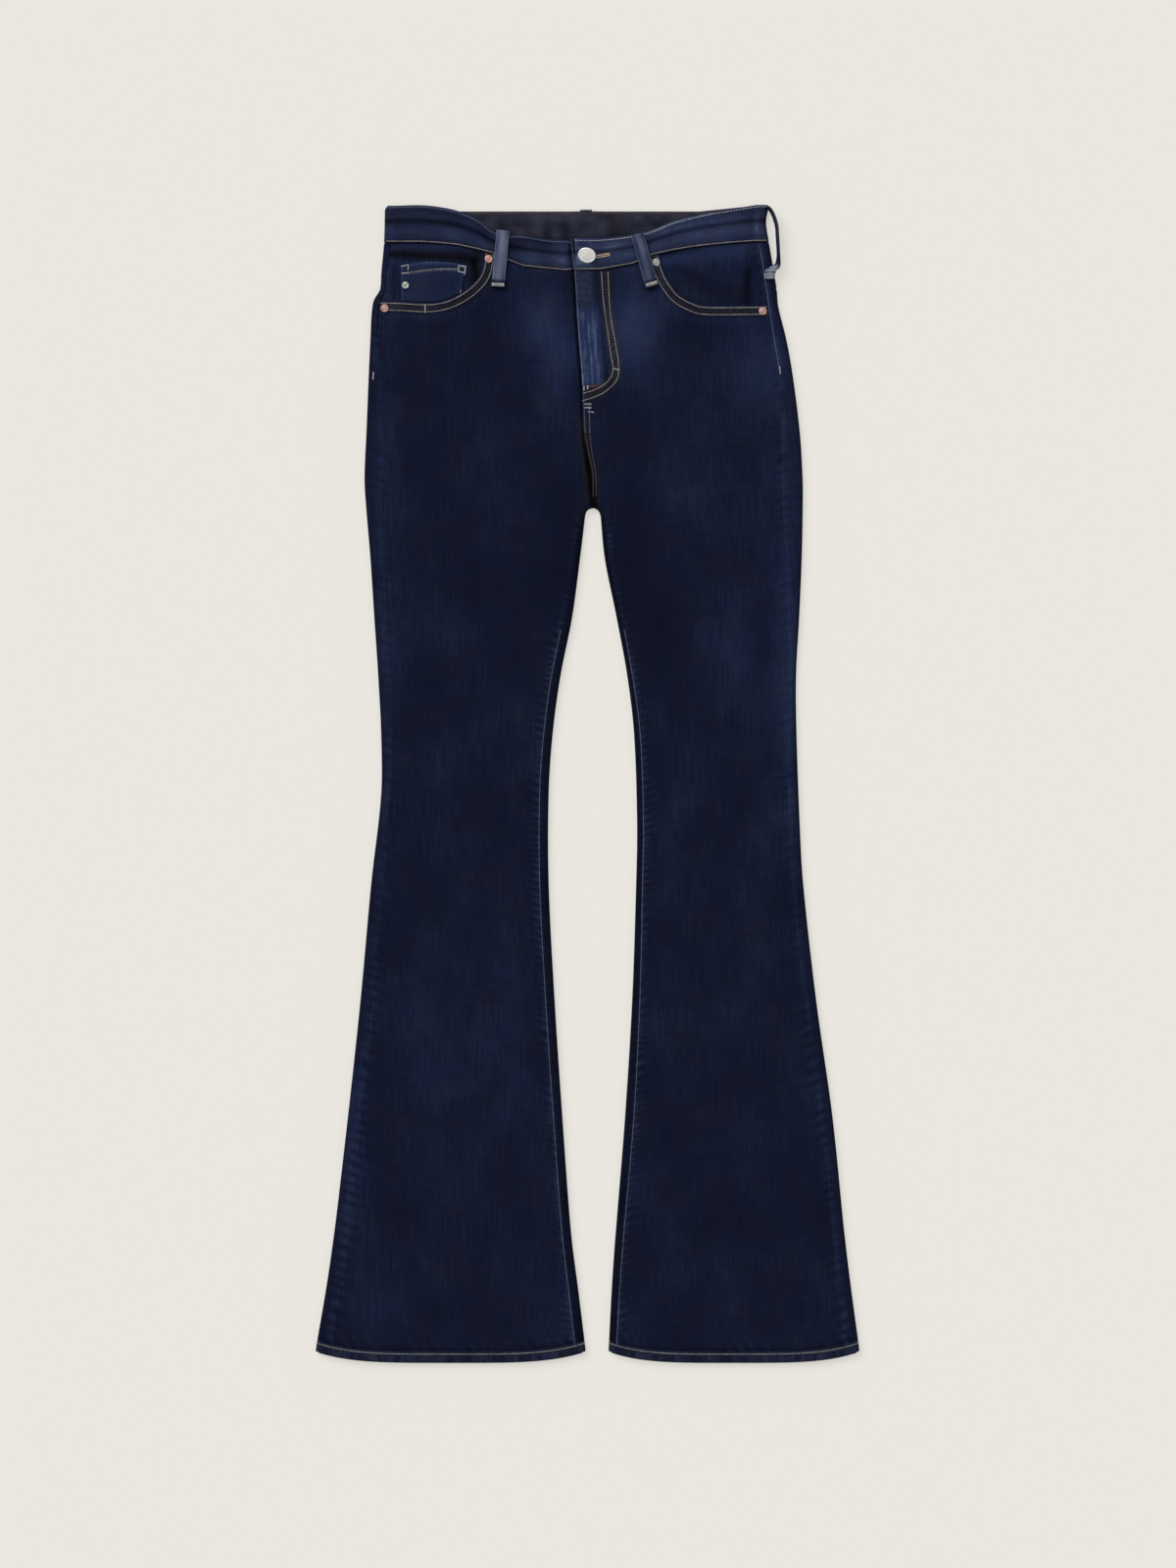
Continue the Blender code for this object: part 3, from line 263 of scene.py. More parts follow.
def pastCentre(x, y):    # how far a place is from the centre line
    return x - lineAt(centreLine, y)


def waistSeam(side, x):
    return bandAt(side, "seam", x, lineAt)


def backHeight(side, x, sideY, backY):
    return lineAt([(side.drop[0], sideY), (side.drop[1], backY)], x)


def backLine(x, key, middle):    # an edge of the back waistband, over both sides
    ends = [backHeight(side, x, getattr(side.band[-1], key), middle) for side in sides]
    return np.where(x < garment["crotchX"], *ends)


def yokeSeam(side, x):
    return lineAt([(garment["crotchX"], garment["yokeCentreY"]),
                   (side.sign * garment["yokeLevelX"], garment["yokeSideY"])], x)


def rowHeight(side, y, bend, x):    # rows near the hem bend into its smile
    outer, inner = outerFold(side, y), innerFold(side, y)
    across = np.abs(2 * (x - inner) / (outer - inner) - 1)
    return y + bend * garment["hemRise"] * np.minimum(1.0, across) ** garment["hemPower"]


def hemLine(side, x):    # the hem's upper edge
    return rowHeight(side, garment["hemY"] + garment["hemHeight"], 1.0, x)


relief = {
    "uneven": 5.0, "wander": (34, 31), "strength": 0.75, "vary": 0.45,    # creases wander a little
    "swell": 0.30, "swellSize": 62, "dimple": 0.10, "dimpleSize": 19, "rippleFrom": 0.8, "rippleFade": 4.0,
}
ripples = {    # puckers at a seam: height, reach, pitch, seed and slant
    "outseam": (1.0, 6.5, 10.5, 11, 0.035), "inseam": (0.48, 8.0, 7.0, 21, -0.04),
    "hem": (0.26, 9.0, 12.0, 31, 0.05),
    "bandSeam": (0.16, 9.0, 8.0, 51, 0.03), "bandTop": (0.14, 8.0, 7.0, 53, -0.03),
    "bandInside": (0.12, 8.0, 8.0, 57, 0.02),
    "outseamHigh": 0.14, "outseamLow": 0.30, "lowFrom": -100.0, "lowRun": 200.0,
    "inseamPast": 0.3, "inseamTop": 262.0,
}


def foldRelief(folds, x, y, uneven=0.0):    # soft troughs and ridges along short lines
    total = np.zeros(np.shape(x))
    if uneven:
        across, along = relief["wander"]
        x, y = x + uneven * softNoise(x, y, across, 5), y + uneven * softNoise(x, y, along, 6)
    for k, f in enumerate(folds):
        distance, along = lineDistance(x, y, f.x0, f.y0, f.x1, f.y1)
        strength = 1.0
        if uneven:
            strength = relief["strength"] + relief["vary"] * softNoise(along * 3 + k * 7.3, 0.0 * along, 1, 9)
        total += f.height * strength * bell(distance, f.width)
    return total


def smallRelief(x, y):    # small creases, and the swell of cloth that lies loosely
    swell = relief["swell"] * softNoise(x, y, relief["swellSize"], 2)
    return foldRelief(smallFolds, x, y, relief["uneven"]) + swell


def seamRipple(kind, distance, along, index=0):    # the small puckers that a seam pulls up
    height, reach, pitch, seed, slant = ripples[kind]
    seed = seed + index
    phase = along / pitch + 0.9 * softNoise(along, 0 * along + seed, 30, seed) + slant * distance
    strength = height * (0.6 + 0.5 * softNoise(along, 0 * along - seed, 24, seed + 1))
    return strength * np.sin(2 * math.pi * phase) * np.exp(-(np.abs(distance) / reach) ** 1.4)


def panelRipple(x, y):    # puckers beside the seams of a leg, and above its hem
    total = np.zeros(np.shape(x))
    for index, side in enumerate(sides):
        lower = ease((ripples["lowFrom"] - y) / ripples["lowRun"])
        outside = seamRipple("outseam", side.sign * (outseamX(side, y) - x), y, index)
        past = side.sign * (x - innerEdge(side, y))
        inside = seamRipple("inseam", past, y, index) * mix(ripples["inseamPast"], 1.0, ease(past + 0.5))
        ripple = (outside * mix(ripples["outseamHigh"], ripples["outseamLow"], lower)
                  + inside * (y < ripples["inseamTop"]) + seamRipple("hem", y - hemLine(side, x), x, index))
        total = np.where((x >= garment["crotchX"]) == index, ripple, total)
    return total


def upperFace(x, y, fine=True):    # height of the cloth's upper surface
    x, y = np.broadcast_arrays(np.asarray(x, float), np.asarray(y, float))
    isRight = x < garment["crotchX"]
    outer = np.where(isRight, outerFold(right, y), outerFold(left, y))
    inner = np.where(isRight, innerFold(right, y), innerFold(left, y))
    toArch = np.hypot(x - garment["archX"], y - garment["archY"]) - garment["archRadius"]
    toEdge = np.minimum(np.abs(x - outer), np.where(y > garment["archY"], toArch, np.abs(x - inner)))
    fade = ease((toEdge - cloth["foldRadius"]) / cloth["foldFade"])
    height = foldTop + fade * foldRelief(mainFolds, x, y)
    if fine:
        small = smallRelief(x, y) + relief["dimple"] * softNoise(x, y, relief["dimpleSize"], 3)
        rippled = ease((toEdge - relief["rippleFrom"]) / relief["rippleFade"])
        height = height + fade * small + rippled * panelRipple(x, y)
    return height


def ramp(distance, half, width):
    return np.clip((half + width - np.abs(distance)) / width, 0, 1)


def underFace(x, y, fine=False):    # the underside: level, and raised over what lies beneath
    raised = np.zeros(np.shape(x + y))
    for loopX in (under["centreLoopX"], under["sideLoopX"]):
        along = np.clip((y - under["loopPadY"]) / under["loopRamp"] + 1, 0, 1)
        raised = np.maximum(raised, along * ramp(x - loopX, under["loopHalf"], under["loopRamp"]))
    middle = (under["pocketTop"] + under["pocketBottom"]) / 2
    half = (under["pocketTop"] - under["pocketBottom"]) / 2 + under["pocketMargin"]
    for side in sides:
        across = ramp(x - side.pocketX, under["pocketWidth"] / 2 + under["pocketMargin"], under["pocketRamp"])
        raised = np.maximum(raised, across * ramp(y - middle, half, under["pocketRamp"]))
    height = under["rise"] * raised
    if fine:
        height = height + np.maximum(0, foldRelief(backFolds, x, y, 6.0)) * (1 - raised)
    return height


def frontLift(side, x, y):    # doubled cloth along the pocket opening and behind the fly
    far = pathDistance(x, y, side.scoop) - garment["scoopBand"]
    lift = garment["scoopLift"] * (1 - ease(far / garment["scoopFade"]))
    if side.sign > 0:
        past = pastCentre(x, y) - garment["flyWidth"]
        fly = garment["flyLift"] * (1 - ease(past / garment["flyFade"] + 0.5))
        lift = np.where(y > garment["flyEndY"], np.maximum(lift, fly), lift)
    return lift


def facingLift(side, x, y):    # the facing lies under the front's opening and rises towards the waist
    end, level = side.scoop[-1][0], lineAt([tuple(p) for p in side.scoop], x)
    beneath = (side.sign * (x - end) <= 0) | (y < level)
    near = pathDistance(x, y, side.scoop) - garment["facingClear"]
    rise = garment["facingRise"] * ease(near / garment["facingRun"])
    return -garment["facingSink"] + np.where(beneath, 0.0, rise)


legWearAndShade = {    # the colour beside the seams of a leg: amount, distance from the seam, reach; pale worn dye by the seams, painted shade along the folded outer edge (fold) and a painted shadow line above the hem (hem)
    "outseam": (1.0, -1.5, 3.2), "inseam": (0.10, 2.5, 3.0), "ridge": (0.04, 0.0, 0.8),
    "fold": (-0.08, 0.0, 2.0), "hem": (-0.10, 1.5, 2.5),
    "strip": 0.07, "wornStrip": 0.20, "stripY": 396.0, "stripRise": 16.0,    # the left hip's outseam is worn
    "inseamTop": 250.0, "pastInseam": -0.13, "pastFrom": 0.3, "pastRise": 1.2, "puckers": 0.34,
    "patchy": (0.7, 0.5, 0.3), "patchSizes": (9, 30),
}
flyWearAndShade = {
    "from": 388.0, "to": 482.0, "level": 0.27, "streak": 0.07, "pitch": 5.2, "noise": 15,    # pale streaks
    # a pale worn edge along the lap, and beside it a dark strip of painted shadow cast by the lap
    "lapEdge": (0.26, 0.8, 0.9, 340.0), "beside": (-0.30, -1.2, 1.2, 300.0), "edgeRise": 20.0,
    "groove": -0.36, "grooveX": 0.6, "grooveWide": 1.8, "grooveWideLow": 4.0,    # painted shade in the groove at the crotch
    "ridge": 0.15, "ridgeVary": 0.05, "ridgeY": 470.0,    # cross ridges under the waistband
}


def legWearAndShadeAt(kind, distance):
    amount, place, reach = legWearAndShade[kind]
    return amount * bell(distance - place, reach)


def wearAndShadeAt(x, y):    # how far the dye has gone, from -1, dark, to 1, pale, together with painted shade at folds, creases, the crotch groove and under edges
    total = sum(w.amount * bell(x - w.x, w.wide) * bell(y - w.y, w.high) for w in wearAndShadowPatches)
    for side in sides:
        onLeg = (x < garment["crotchX"]) == (side.sign < 0)
        level, alongSeam, allOver = legWearAndShade["patchy"]
        seamSize, size = legWearAndShade["patchSizes"]
        patchy = (level + alongSeam * softNoise(0 * y + side.sign * 9, y, seamSize, 41)
                  + allOver * softNoise(x, y, size, 42))
        outside, inside = side.sign * (outseamX(side, y) - x), side.sign * (x - innerEdge(side, y))
        hip = ease((y - legWearAndShade["stripY"]) / legWearAndShade["stripRise"]) * (side.sign > 0)
        dye = mix(legWearAndShade["strip"], legWearAndShade["wornStrip"], hip) * patchy * legWearAndShadeAt("outseam", outside)
        dye = dye + patchy * legWearAndShadeAt("inseam", inside) * (y < legWearAndShade["inseamTop"])
        dye = dye + legWearAndShadeAt("ridge", outside) * (y < legWearAndShade["stripY"])
        past = ease((-inside - legWearAndShade["pastFrom"]) / legWearAndShade["pastRise"])
        dye = dye + legWearAndShade["pastInseam"] * past * (y < garment["archY"])
        # painted shadow line just above the hem's edge, then painted shade along the folded outer edge
        dye = dye + legWearAndShadeAt("hem", y - hemLine(side, x))
        total = total + dye * onLeg + legWearAndShadeAt("fold", x - outerFold(side, y)) * (y < garment["bandSideY"])
    # the puckers' colour follows their height: paler on the crests as worn dye, darker in the troughs as
    # painted shade
    return total + flyWearAndShadeAt(x, y) + legWearAndShade["puckers"] * panelRipple(x, y)


def flyWearAndShadeAt(x, y):
    f, past = flyWearAndShade, pastCentre(x, y)
    zone = ease((y - f["from"]) / 6) * ease((f["to"] - y) / 24) * ease((past + 1) / 2) * ease((24 - past) / 6)
    waves = np.cos(2 * np.pi * past / f["pitch"]) + softNoise(x * 6, y, f["noise"], 45)
    edges = 0.0
    for amount, place, reach, bottom in (f["lapEdge"], f["beside"]):
        edges = edges + amount * bell(past - place, reach) * ease((y - bottom) / f["edgeRise"])
    wide = mix(f["grooveWide"], f["grooveWideLow"], ease((330 - y) / 50))
    groove = f["groove"] * bell(past - f["grooveX"], wide) * ease((348 - y) / 40) * ease((y - 262) / 8)
    ridges = (f["ridge"] + f["ridgeVary"] * crossRidges(x, y)) * ease((y - f["ridgeY"]) / 10)
    ridges = ridges * ease(past / 2) * ease((22 - past) / 8)
    return zone * (f["level"] + f["streak"] * waves) + edges + groove + ridges


def crossRidges(x, y):
    return np.sin(y * 0.9 + 1.3 * np.sin(x * 0.3))


def rowBlobs(x, y):    # small puckers between two rows of stitches
    return np.sin((x * 0.9 - np.abs(x) * 0.3 + y) * 1.5)


rowPuckers = {"level": 0.02, "vary": 0.09, "noise": 0.6, "size": 2.6, "reach": 2.4, "height": 0.26}


def rowWearAndShadeAt(near, x, y):    # between two rows of stitches the cloth is dark and puckered; the colour follows the puckers, paler on the crests as worn dye and darker in the troughs as painted shade
    blobs = rowBlobs(x, y) + rowPuckers["noise"] * softNoise(x, y, rowPuckers["size"], 48)
    return (rowPuckers["level"] + rowPuckers["vary"] * blobs) * bell(near, rowPuckers["reach"])


right = makeSide("right", -1, rightSections, rightBand, rightScoop, rightFacingEdge)
left = makeSide("left", 1, leftSections, leftBand, leftScoop, leftFacingEdge)
sides = (right, left)
backStops = sorted([x + d for x in (under["sideLoopX"], under["centreLoopX"])
                    for d in (-19.0, -7.0, 7.0, 19.0)]
                   + [-garment["yokeLevelX"], -110.0, -65.0, 60.0, 110.0, garment["yokeLevelX"]])
right.drop = (backStops[0], backStops[4])
left.drop = (backStops[-1], backStops[-2])

print("finishes")


def toLight(c):
    return ((c / 255 + 0.055) / 1.055) ** 2.4 if c > 10 else c / 255 / 12.92


def fromScreen(*colour):    # a colour as seen on a screen, 0 to 255, as light
    return tuple(map(toLight, colour)) + (1.0,)


def addNode(tree, kind, settings=None, inputs=None):
    made = tree.nodes.new(kind)
    for key, value in (settings or {}).items():
        setattr(made, key, value)
    for key, value in (inputs or {}).items():
        if isinstance(value, bpy.types.NodeSocket):
            tree.links.new(value, made.inputs[key])
        else:
            made.inputs[key].default_value = value
    return made


class Wire:    # a shader socket that takes part in sums
    def __init__(self, finish, socket):
        self.finish, self.socket = finish, socket

    def math(self, operation, first, second=None):
        inputs = {0: first} if second is None else {0: first, 1: second}
        return self.finish.node("ShaderNodeMath", {"operation": operation}, inputs)

    def __add__(self, other):
        return self.math("ADD", self, other)

    def __sub__(self, other):
        return self.math("SUBTRACT", self, other)

    def __mul__(self, other):
        return self.math("MULTIPLY", self, other)

    __radd__, __rmul__ = __add__, __mul__

    def sine(self):
        return self.math("SINE", self)

    def clamped(self):
        return self.math("MAXIMUM", self.math("MINIMUM", self, 1.0), 0.0)


class Finish:
    def __init__(self, name):
        self.material = bpy.data.materials.new(name)
        self.material.use_nodes = True
        self.tree = self.material.node_tree
        self.tree.nodes.clear()

    def node(self, kind, settings=None, inputs=None, output=0):
        inputs = {key: getattr(value, "socket", value) for key, value in (inputs or {}).items()}
        made = addNode(self.tree, kind, settings, inputs)
        return Wire(self, made.outputs[output]) if made.outputs else None

    def ramp(self, stops, factor):
        wire = self.node("ShaderNodeValToRGB", None, {"Fac": factor})
        elements = wire.socket.node.color_ramp.elements
        for place, colour in stops[2:]:
            elements.new(place)
        for element, (place, colour) in zip(elements, sorted(stops)):
            element.position, element.color = place, colour
        return wire

    def noise(self, place, scale, detail=2.0, rough=0.5, turn=(0, 0, 0)):
        at = self.node("ShaderNodeMapping", None, {"Vector": place, "Scale": scale, "Rotation": turn})
        return self.node("ShaderNodeTexNoise", None, {"Vector": at, "Scale": 1.0, "Detail": detail,
                                                       "Roughness": rough})

    def output(self, inputs, height=None, depth=0.0002, strength=0.6):
        if height is not None:
            inputs["Normal"] = self.node("ShaderNodeBump", None, {"Strength": strength, "Distance": depth,
                                                                   "Height": height})
        shader = self.node("ShaderNodeBsdfPrincipled", None, inputs)
        self.node("ShaderNodeOutputMaterial", None, {"Surface": shader})
        return self.material


denimLook = {
    "black": (3, 4, 8), "indigo": (17, 22, 42), "blue": (37, 49, 82), "pale": (112, 130, 166),
    "brownBlack": (5, 5, 5), "brown": (31, 29, 33), "greyBrown": (66, 62, 66), "paleBrown": (132, 124, 120),
    "level": 0.30, "loopLevel": 0.66,    # where unworn cloth lies between black, 0, and pale, 1
    "warp": 0.10, "weft": 0.04, "mottle": 0.12, "speckle": 0.07, "drift": 0.65,
    "twill": 1.1,    # mm from one diagonal line to the next
}


def denimFinish(name, level):
    f = Finish(name)
    uv = f.node("ShaderNodeUVMap", {"uv_map": "cloth"})
    # this attribute carries worn dye together with painted shade and painted shadow
    worn = f.node("ShaderNodeAttribute", {"attribute_name": "worn"}, output=2)
    warm = f.node("ShaderNodeAttribute", {"attribute_name": "warm"}, output=2)
    warp = f.noise(uv, (620, 24, 1), 3, 0.6)
    weft = f.noise(uv, (30, 560, 1), 2, 0.55)
    mottle = f.noise(uv, (16, 11, 1), 3, 0.6)
    speckle = f.noise(uv, (420, 150, 1), 2, 0.7)
    patches = f.noise(uv, (34, 26, 1), 2, 0.5)
    parts = f.node("ShaderNodeSeparateXYZ", None, {"Vector": uv})
    u, v = parts, Wire(f, parts.socket.node.outputs[1])
    turns = 2 * math.pi / (denimLook["twill"] * mm)
    twill = ((u * 0.85 + v * 0.53) * turns).sine()
    tone = (level + (warp - 0.5) * denimLook["warp"] * 2 + (weft - 0.5) * denimLook["weft"] * 2
            + (mottle - 0.5) * denimLook["mottle"] * 2)
    # the worn dye and the painted shade, speckled
    wearAndShadeTone = worn * (0.8 + 0.4 * speckle)
    tone = tone + wearAndShadeTone + (speckle - 0.5) * denimLook["speckle"] + twill * 0.012
    ramps = []
    for names in (("black", "pale", "indigo", "blue"), ("brownBlack", "paleBrown", "brown", "greyBrown")):
        stops = [(at, fromScreen(*denimLook[part])) for at, part in zip((0.0, 1.0, 0.3, 0.58), names)]
        ramps.append(f.ramp(stops, tone.clamped()))
    warmer = (warm + (patches - 0.42) * denimLook["drift"]).clamped()
    colour = f.node("ShaderNodeMix", {"data_type": "RGBA"}, {0: warmer, 6: ramps[0], 7: ramps[1]}, output=2)
    height = warp * 0.55 + weft * 0.3 + speckle * 0.25 + twill * 0.18
    return f.output({"Base Color": colour, "Roughness": 0.78 + 0.2 * warp, "Specular IOR Level": 0.02,
                     "Sheen Weight": 0.02, "Sheen Roughness": 0.6, "Sheen Tint": (0.45, 0.55, 0.85, 1)},
                    height, 0.00016, 0.8)


def threadFinish(name, light, dark):
    f = Finish(name)
    place = f.node("ShaderNodeTexCoord", output=3)
    long = f.noise(place, (140, 140, 140), 2)
    fibre = f.noise(place, (2600, 2600, 2600), 2)
    stops = [(0.28, fromScreen(*dark)), (0.72, fromScreen(*light))]
    colour = f.ramp(stops, (0.7 * long + 0.3 * fibre).clamped())
    return f.output({"Base Color": colour, "Roughness": 0.6 + 0.25 * fibre, "Specular IOR Level": 0.2},
                    fibre, 0.0001, 0.5)


def metalFinish(name, light, dark, rough, metallic):
    f = Finish(name)
    place = f.node("ShaderNodeTexCoord", output=3)
    patches = f.noise(place, (420, 420, 420), 3, 0.6)
    fine = f.noise(place, (2400, 2400, 900), 3, 0.6)
    stops = [(0.36, fromScreen(*dark)), (0.62, fromScreen(*light))]
    colour = f.ramp(stops, (0.8 * patches + 0.2 * fine).clamped())
    return f.output({"Base Color": colour, "Roughness": rough + 0.16 * patches, "Metallic": metallic},
                    fine, 0.00004, 0.5)


room = {"floor": (234, 231, 224), "size": 14.0, "drop": 0.2, "world": 0.52, "sun": 2.05, "softness": 44.0,
        "from": (-0.62, 0.70, 0.80), "paper": 0.34, "glow": 0.68}    # the paper lies on a light table


def floorFinish(name, colour):
    f = Finish(name)
    place = f.node("ShaderNodeTexCoord", output=3)
    grain = f.noise(place, (40, 40, 40), 3)
    full = np.array(fromScreen(*colour))
    share = np.array([room["paper"]] * 3 + [1.0])
    tone = f.node("ShaderNodeMix", {"data_type": "RGBA"}, {0: 0.02 * grain, 6: tuple(full * share),
                                                          7: (0.2, 0.2, 0.2, 1)}, output=2)
    return f.output({"Base Color": tone, "Roughness": 0.95, "Specular IOR Level": 0.0,
                     "Emission Color": tuple(full), "Emission Strength": room["glow"]})


denim = denimFinish("denim_indigo", denimLook["level"])
loopDenim = denimFinish("denim_worn_loop", denimLook["loopLevel"])
threads = {name: threadFinish(f"thread_{name}", light, dark) for name, light, dark in (
    ("tan", (156, 149, 140), (104, 98, 94)), ("cream", (160, 159, 148), (112, 111, 104)),
    ("pale", (206, 206, 200), (148, 148, 148)), ("roll", (196, 198, 198), (112, 114, 116)),
    ("dim", (96, 101, 124), (58, 63, 84)), ("brown", (112, 88, 62), (62, 48, 40)),
    ("seam", (84, 78, 76), (44, 42, 44)), ("red", (120, 72, 66), (78, 44, 44)),
    ("buttonhole", (218, 196, 180), (160, 132, 118)))}
metals = {name: metalFinish(f"metal_{name}", *look) for name, look in (
    ("silver", ((252, 251, 248), (236, 235, 232), 0.28, 0.45)),
    ("copper", ((218, 176, 162), (152, 112, 102), 0.38, 0.6)),
    ("steel", ((206, 208, 200), (122, 124, 118), 0.36, 0.7)))}

print("cloth")
pieces = {}


def addPiece(name, points, faces, material, sharp=50.0, uvs=None, wear=None):
    mesh = bpy.data.meshes.new(name)
    mesh.from_pydata((np.asarray(points) * mm).tolist(), [], [list(map(int, f)) for f in faces])
    work = bmesh.new()
    work.from_mesh(mesh)
    bmesh.ops.recalc_face_normals(work, faces=work.faces)
    work.to_mesh(mesh)
    work.free()
    if uvs is not None:
        corners = np.empty(len(mesh.loops), dtype=np.int32)
        mesh.loops.foreach_get("vertex_index", corners)
        layer = mesh.uv_layers.new(name="cloth")
        layer.data.foreach_set("uv", (np.asarray(uvs)[corners] * mm).ravel())
    for key, values in (wear or {}).items():
        mesh.attributes.new(key, "FLOAT", "POINT").data.foreach_set("value", np.asarray(values, np.float32))
    mesh.shade_smooth()
    mesh.set_sharp_from_angle(angle=math.radians(sharp))
    mesh.materials.append(material)
    piece = bpy.data.objects.new(name, mesh)
    scene.collection.objects.link(piece)
    pieces[name] = piece
    return piece


def softEdges(outer, ring):    # how much each grid point is drawn in at the cloth's cut edges
    far = np.full(outer.shape[:2], 1e9)
    for axis in (0,) if ring else (0, 1):
        run = runLengths(outer, axis)
        far = np.minimum(far, np.minimum(run, run.take([-1], axis) - run))
    return cloth["edgeRound"] * bell(far, cloth["edgeReach"])[..., None]


def clothWall(name, outer, inner, uv, worn, wearAndShadeInside=0.2, ring=False, warm=0.0, warmInside=0.3):
    pull = softEdges(outer, ring)
    outer, inner = mix(outer, inner, pull), mix(inner, outer, 0.5 * pull)
    valid = ~np.isnan(outer[..., 0])
    count = int(valid.sum())
    index = np.full(valid.shape, -1)
    index[valid] = np.arange(count)
    around = np.concatenate([index, index[:, :1]], 1) if ring else index
    cells = np.stack([around[:-1, :-1], around[:-1, 1:], around[1:, 1:], around[1:, :-1]], -1).reshape(-1, 4)
    cells = cells[cells.min(axis=1) >= 0]
    edges = np.concatenate([cells[:, [k, (k + 1) % 4]] for k in range(4)])
    there, back = edges[:, 0] * count + edges[:, 1], edges[:, 1] * count + edges[:, 0]
    rim = edges[~np.isin(there, back)]
    faces = np.concatenate([cells, cells[:, ::-1] + count,
                            np.stack([rim[:, 1], rim[:, 0], rim[:, 0] + count, rim[:, 1] + count], 1)])
    uv = np.broadcast_to(uv, outer.shape[:2] + (2,))[valid]
    wear = {key: np.concatenate([np.broadcast_to(part, outer.shape[:2])[valid] for part in parts])
            for key, parts in (("worn", (worn, wearAndShadeInside)), ("warm", (warm, warmInside)))}
    return addPiece(name, np.concatenate([outer[valid], inner[valid]]), faces, denim,
                    uvs=np.concatenate([uv, uv]), wear=wear)


def spread(length, spacing=cloth["grid"]):    # places along a length, closer together at both ends
    near, far = [0.0, 0.5, 1.2], 2.2
    middle = np.linspace(far, length - far, max(2, int(round((length - 2 * far) / spacing)) + 1))
    return np.concatenate([near, middle, [length - d for d in reversed(near)]])


def shares(length, spacing=cloth["grid"]):
    return spread(length, spacing) / length


def hemBend(y):
    return lineAt([(-430, 0.0), (-480, 0.35), (-525, 0.75), (-558, 1.0)], y)


def grid3(x, y, z):
    x, y, z = np.broadcast_arrays(x, y, z)
    return np.stack([x, y, z], -1).astype(float)


def wallGrids(x, y, z, wall):    # both faces of a level piece of cloth
    return grid3(x, y, z), grid3(x, y, z + wall)


def joined(blocks, axis=1):
    return (np.concatenate([block[k] for block in blocks], axis) for k in (0, 1))


def plan(x, y):
    return np.stack(np.broadcast_arrays(x, y), -1)


hemTopY = garment["hemY"] + garment["hemHeight"]
legRows = garment["seatY"] - spread(garment["seatY"] - (hemTopY + garment["hemGap"]), 2.7)[:, None]
archRows = np.array([275.46, 275.4, 274.8, 274.1, 273.2, 272.2, 271.4, 271.1, 270.7, 270.0, 269.0, 267.6,
                     265.8])[:, None]
legRows = np.concatenate([legRows[legRows > 276.4][:, None], archRows, legRows[legRows < 264.4][:, None]])
flyInner = [(13.8, 502.4), (15.8, 474.7), (19.6, 447.0), (23.2, 421.0), (25.2, 407.0), (20.3, 396.5),
            (9.2, 388.6), (-3.0, 384.6)]
flyOuter = [(20.2, 502.4), (22.6, 461.8), (27.8, 432.0), (30.8, 410.0), (28.5, 396.8), (16.6, 385.4),
            (5.0, 380.0), (-4.0, 377.2)]
panelForm = {
    "topReach": 68.0, "topCell": 2.0, "waistSteps": 40,
    "rowsMiddle": 5.0, "curveMiddle": 3.2, "curveY": 378.0, "curveFrom": 16.0,    # the rows of stitches
    "sunk": (-0.28, 5.0, 2.0), "edge": (0.22, 0.8, 1.2),    # beside the pocket opening: amount, place, reach
    "edgeDye": (0.16, 0.0, 1.3), "bandDye": (0.04, 14.0, 5.0),
    "warm": 0.6, "warmReach": 3.6, "curveWarmReach": 2.4, "flyWarm": 0.28,
    "crotchWarm": 0.9, "crotchReach": 6.0,
}
flyRelief = {
    "groove": -1.3, "grooveY": 350.0, "grooveRun": 60.0, "grooveX": 1.2, "grooveWide": 3.4, "rightWide": 3.2,
    "ridge": 0.35, "ridgeX": 2.2, "ridgeWide": 1.8, "streak": 0.16, "pitch": 5.4, "streakTop": 478.0,
    "across": 0.14, "acrossY": 470.0, "acrossX": 12.0, "pucker": 0.10, "puckerReach": 5.0,
    "rightEdge": -0.9, "rightReach": 3.0,
}


def near3(key, distance):    # one of the three-part values of a panel
    amount, place, reach = panelForm[key]
    return amount * bell(distance - place, reach)


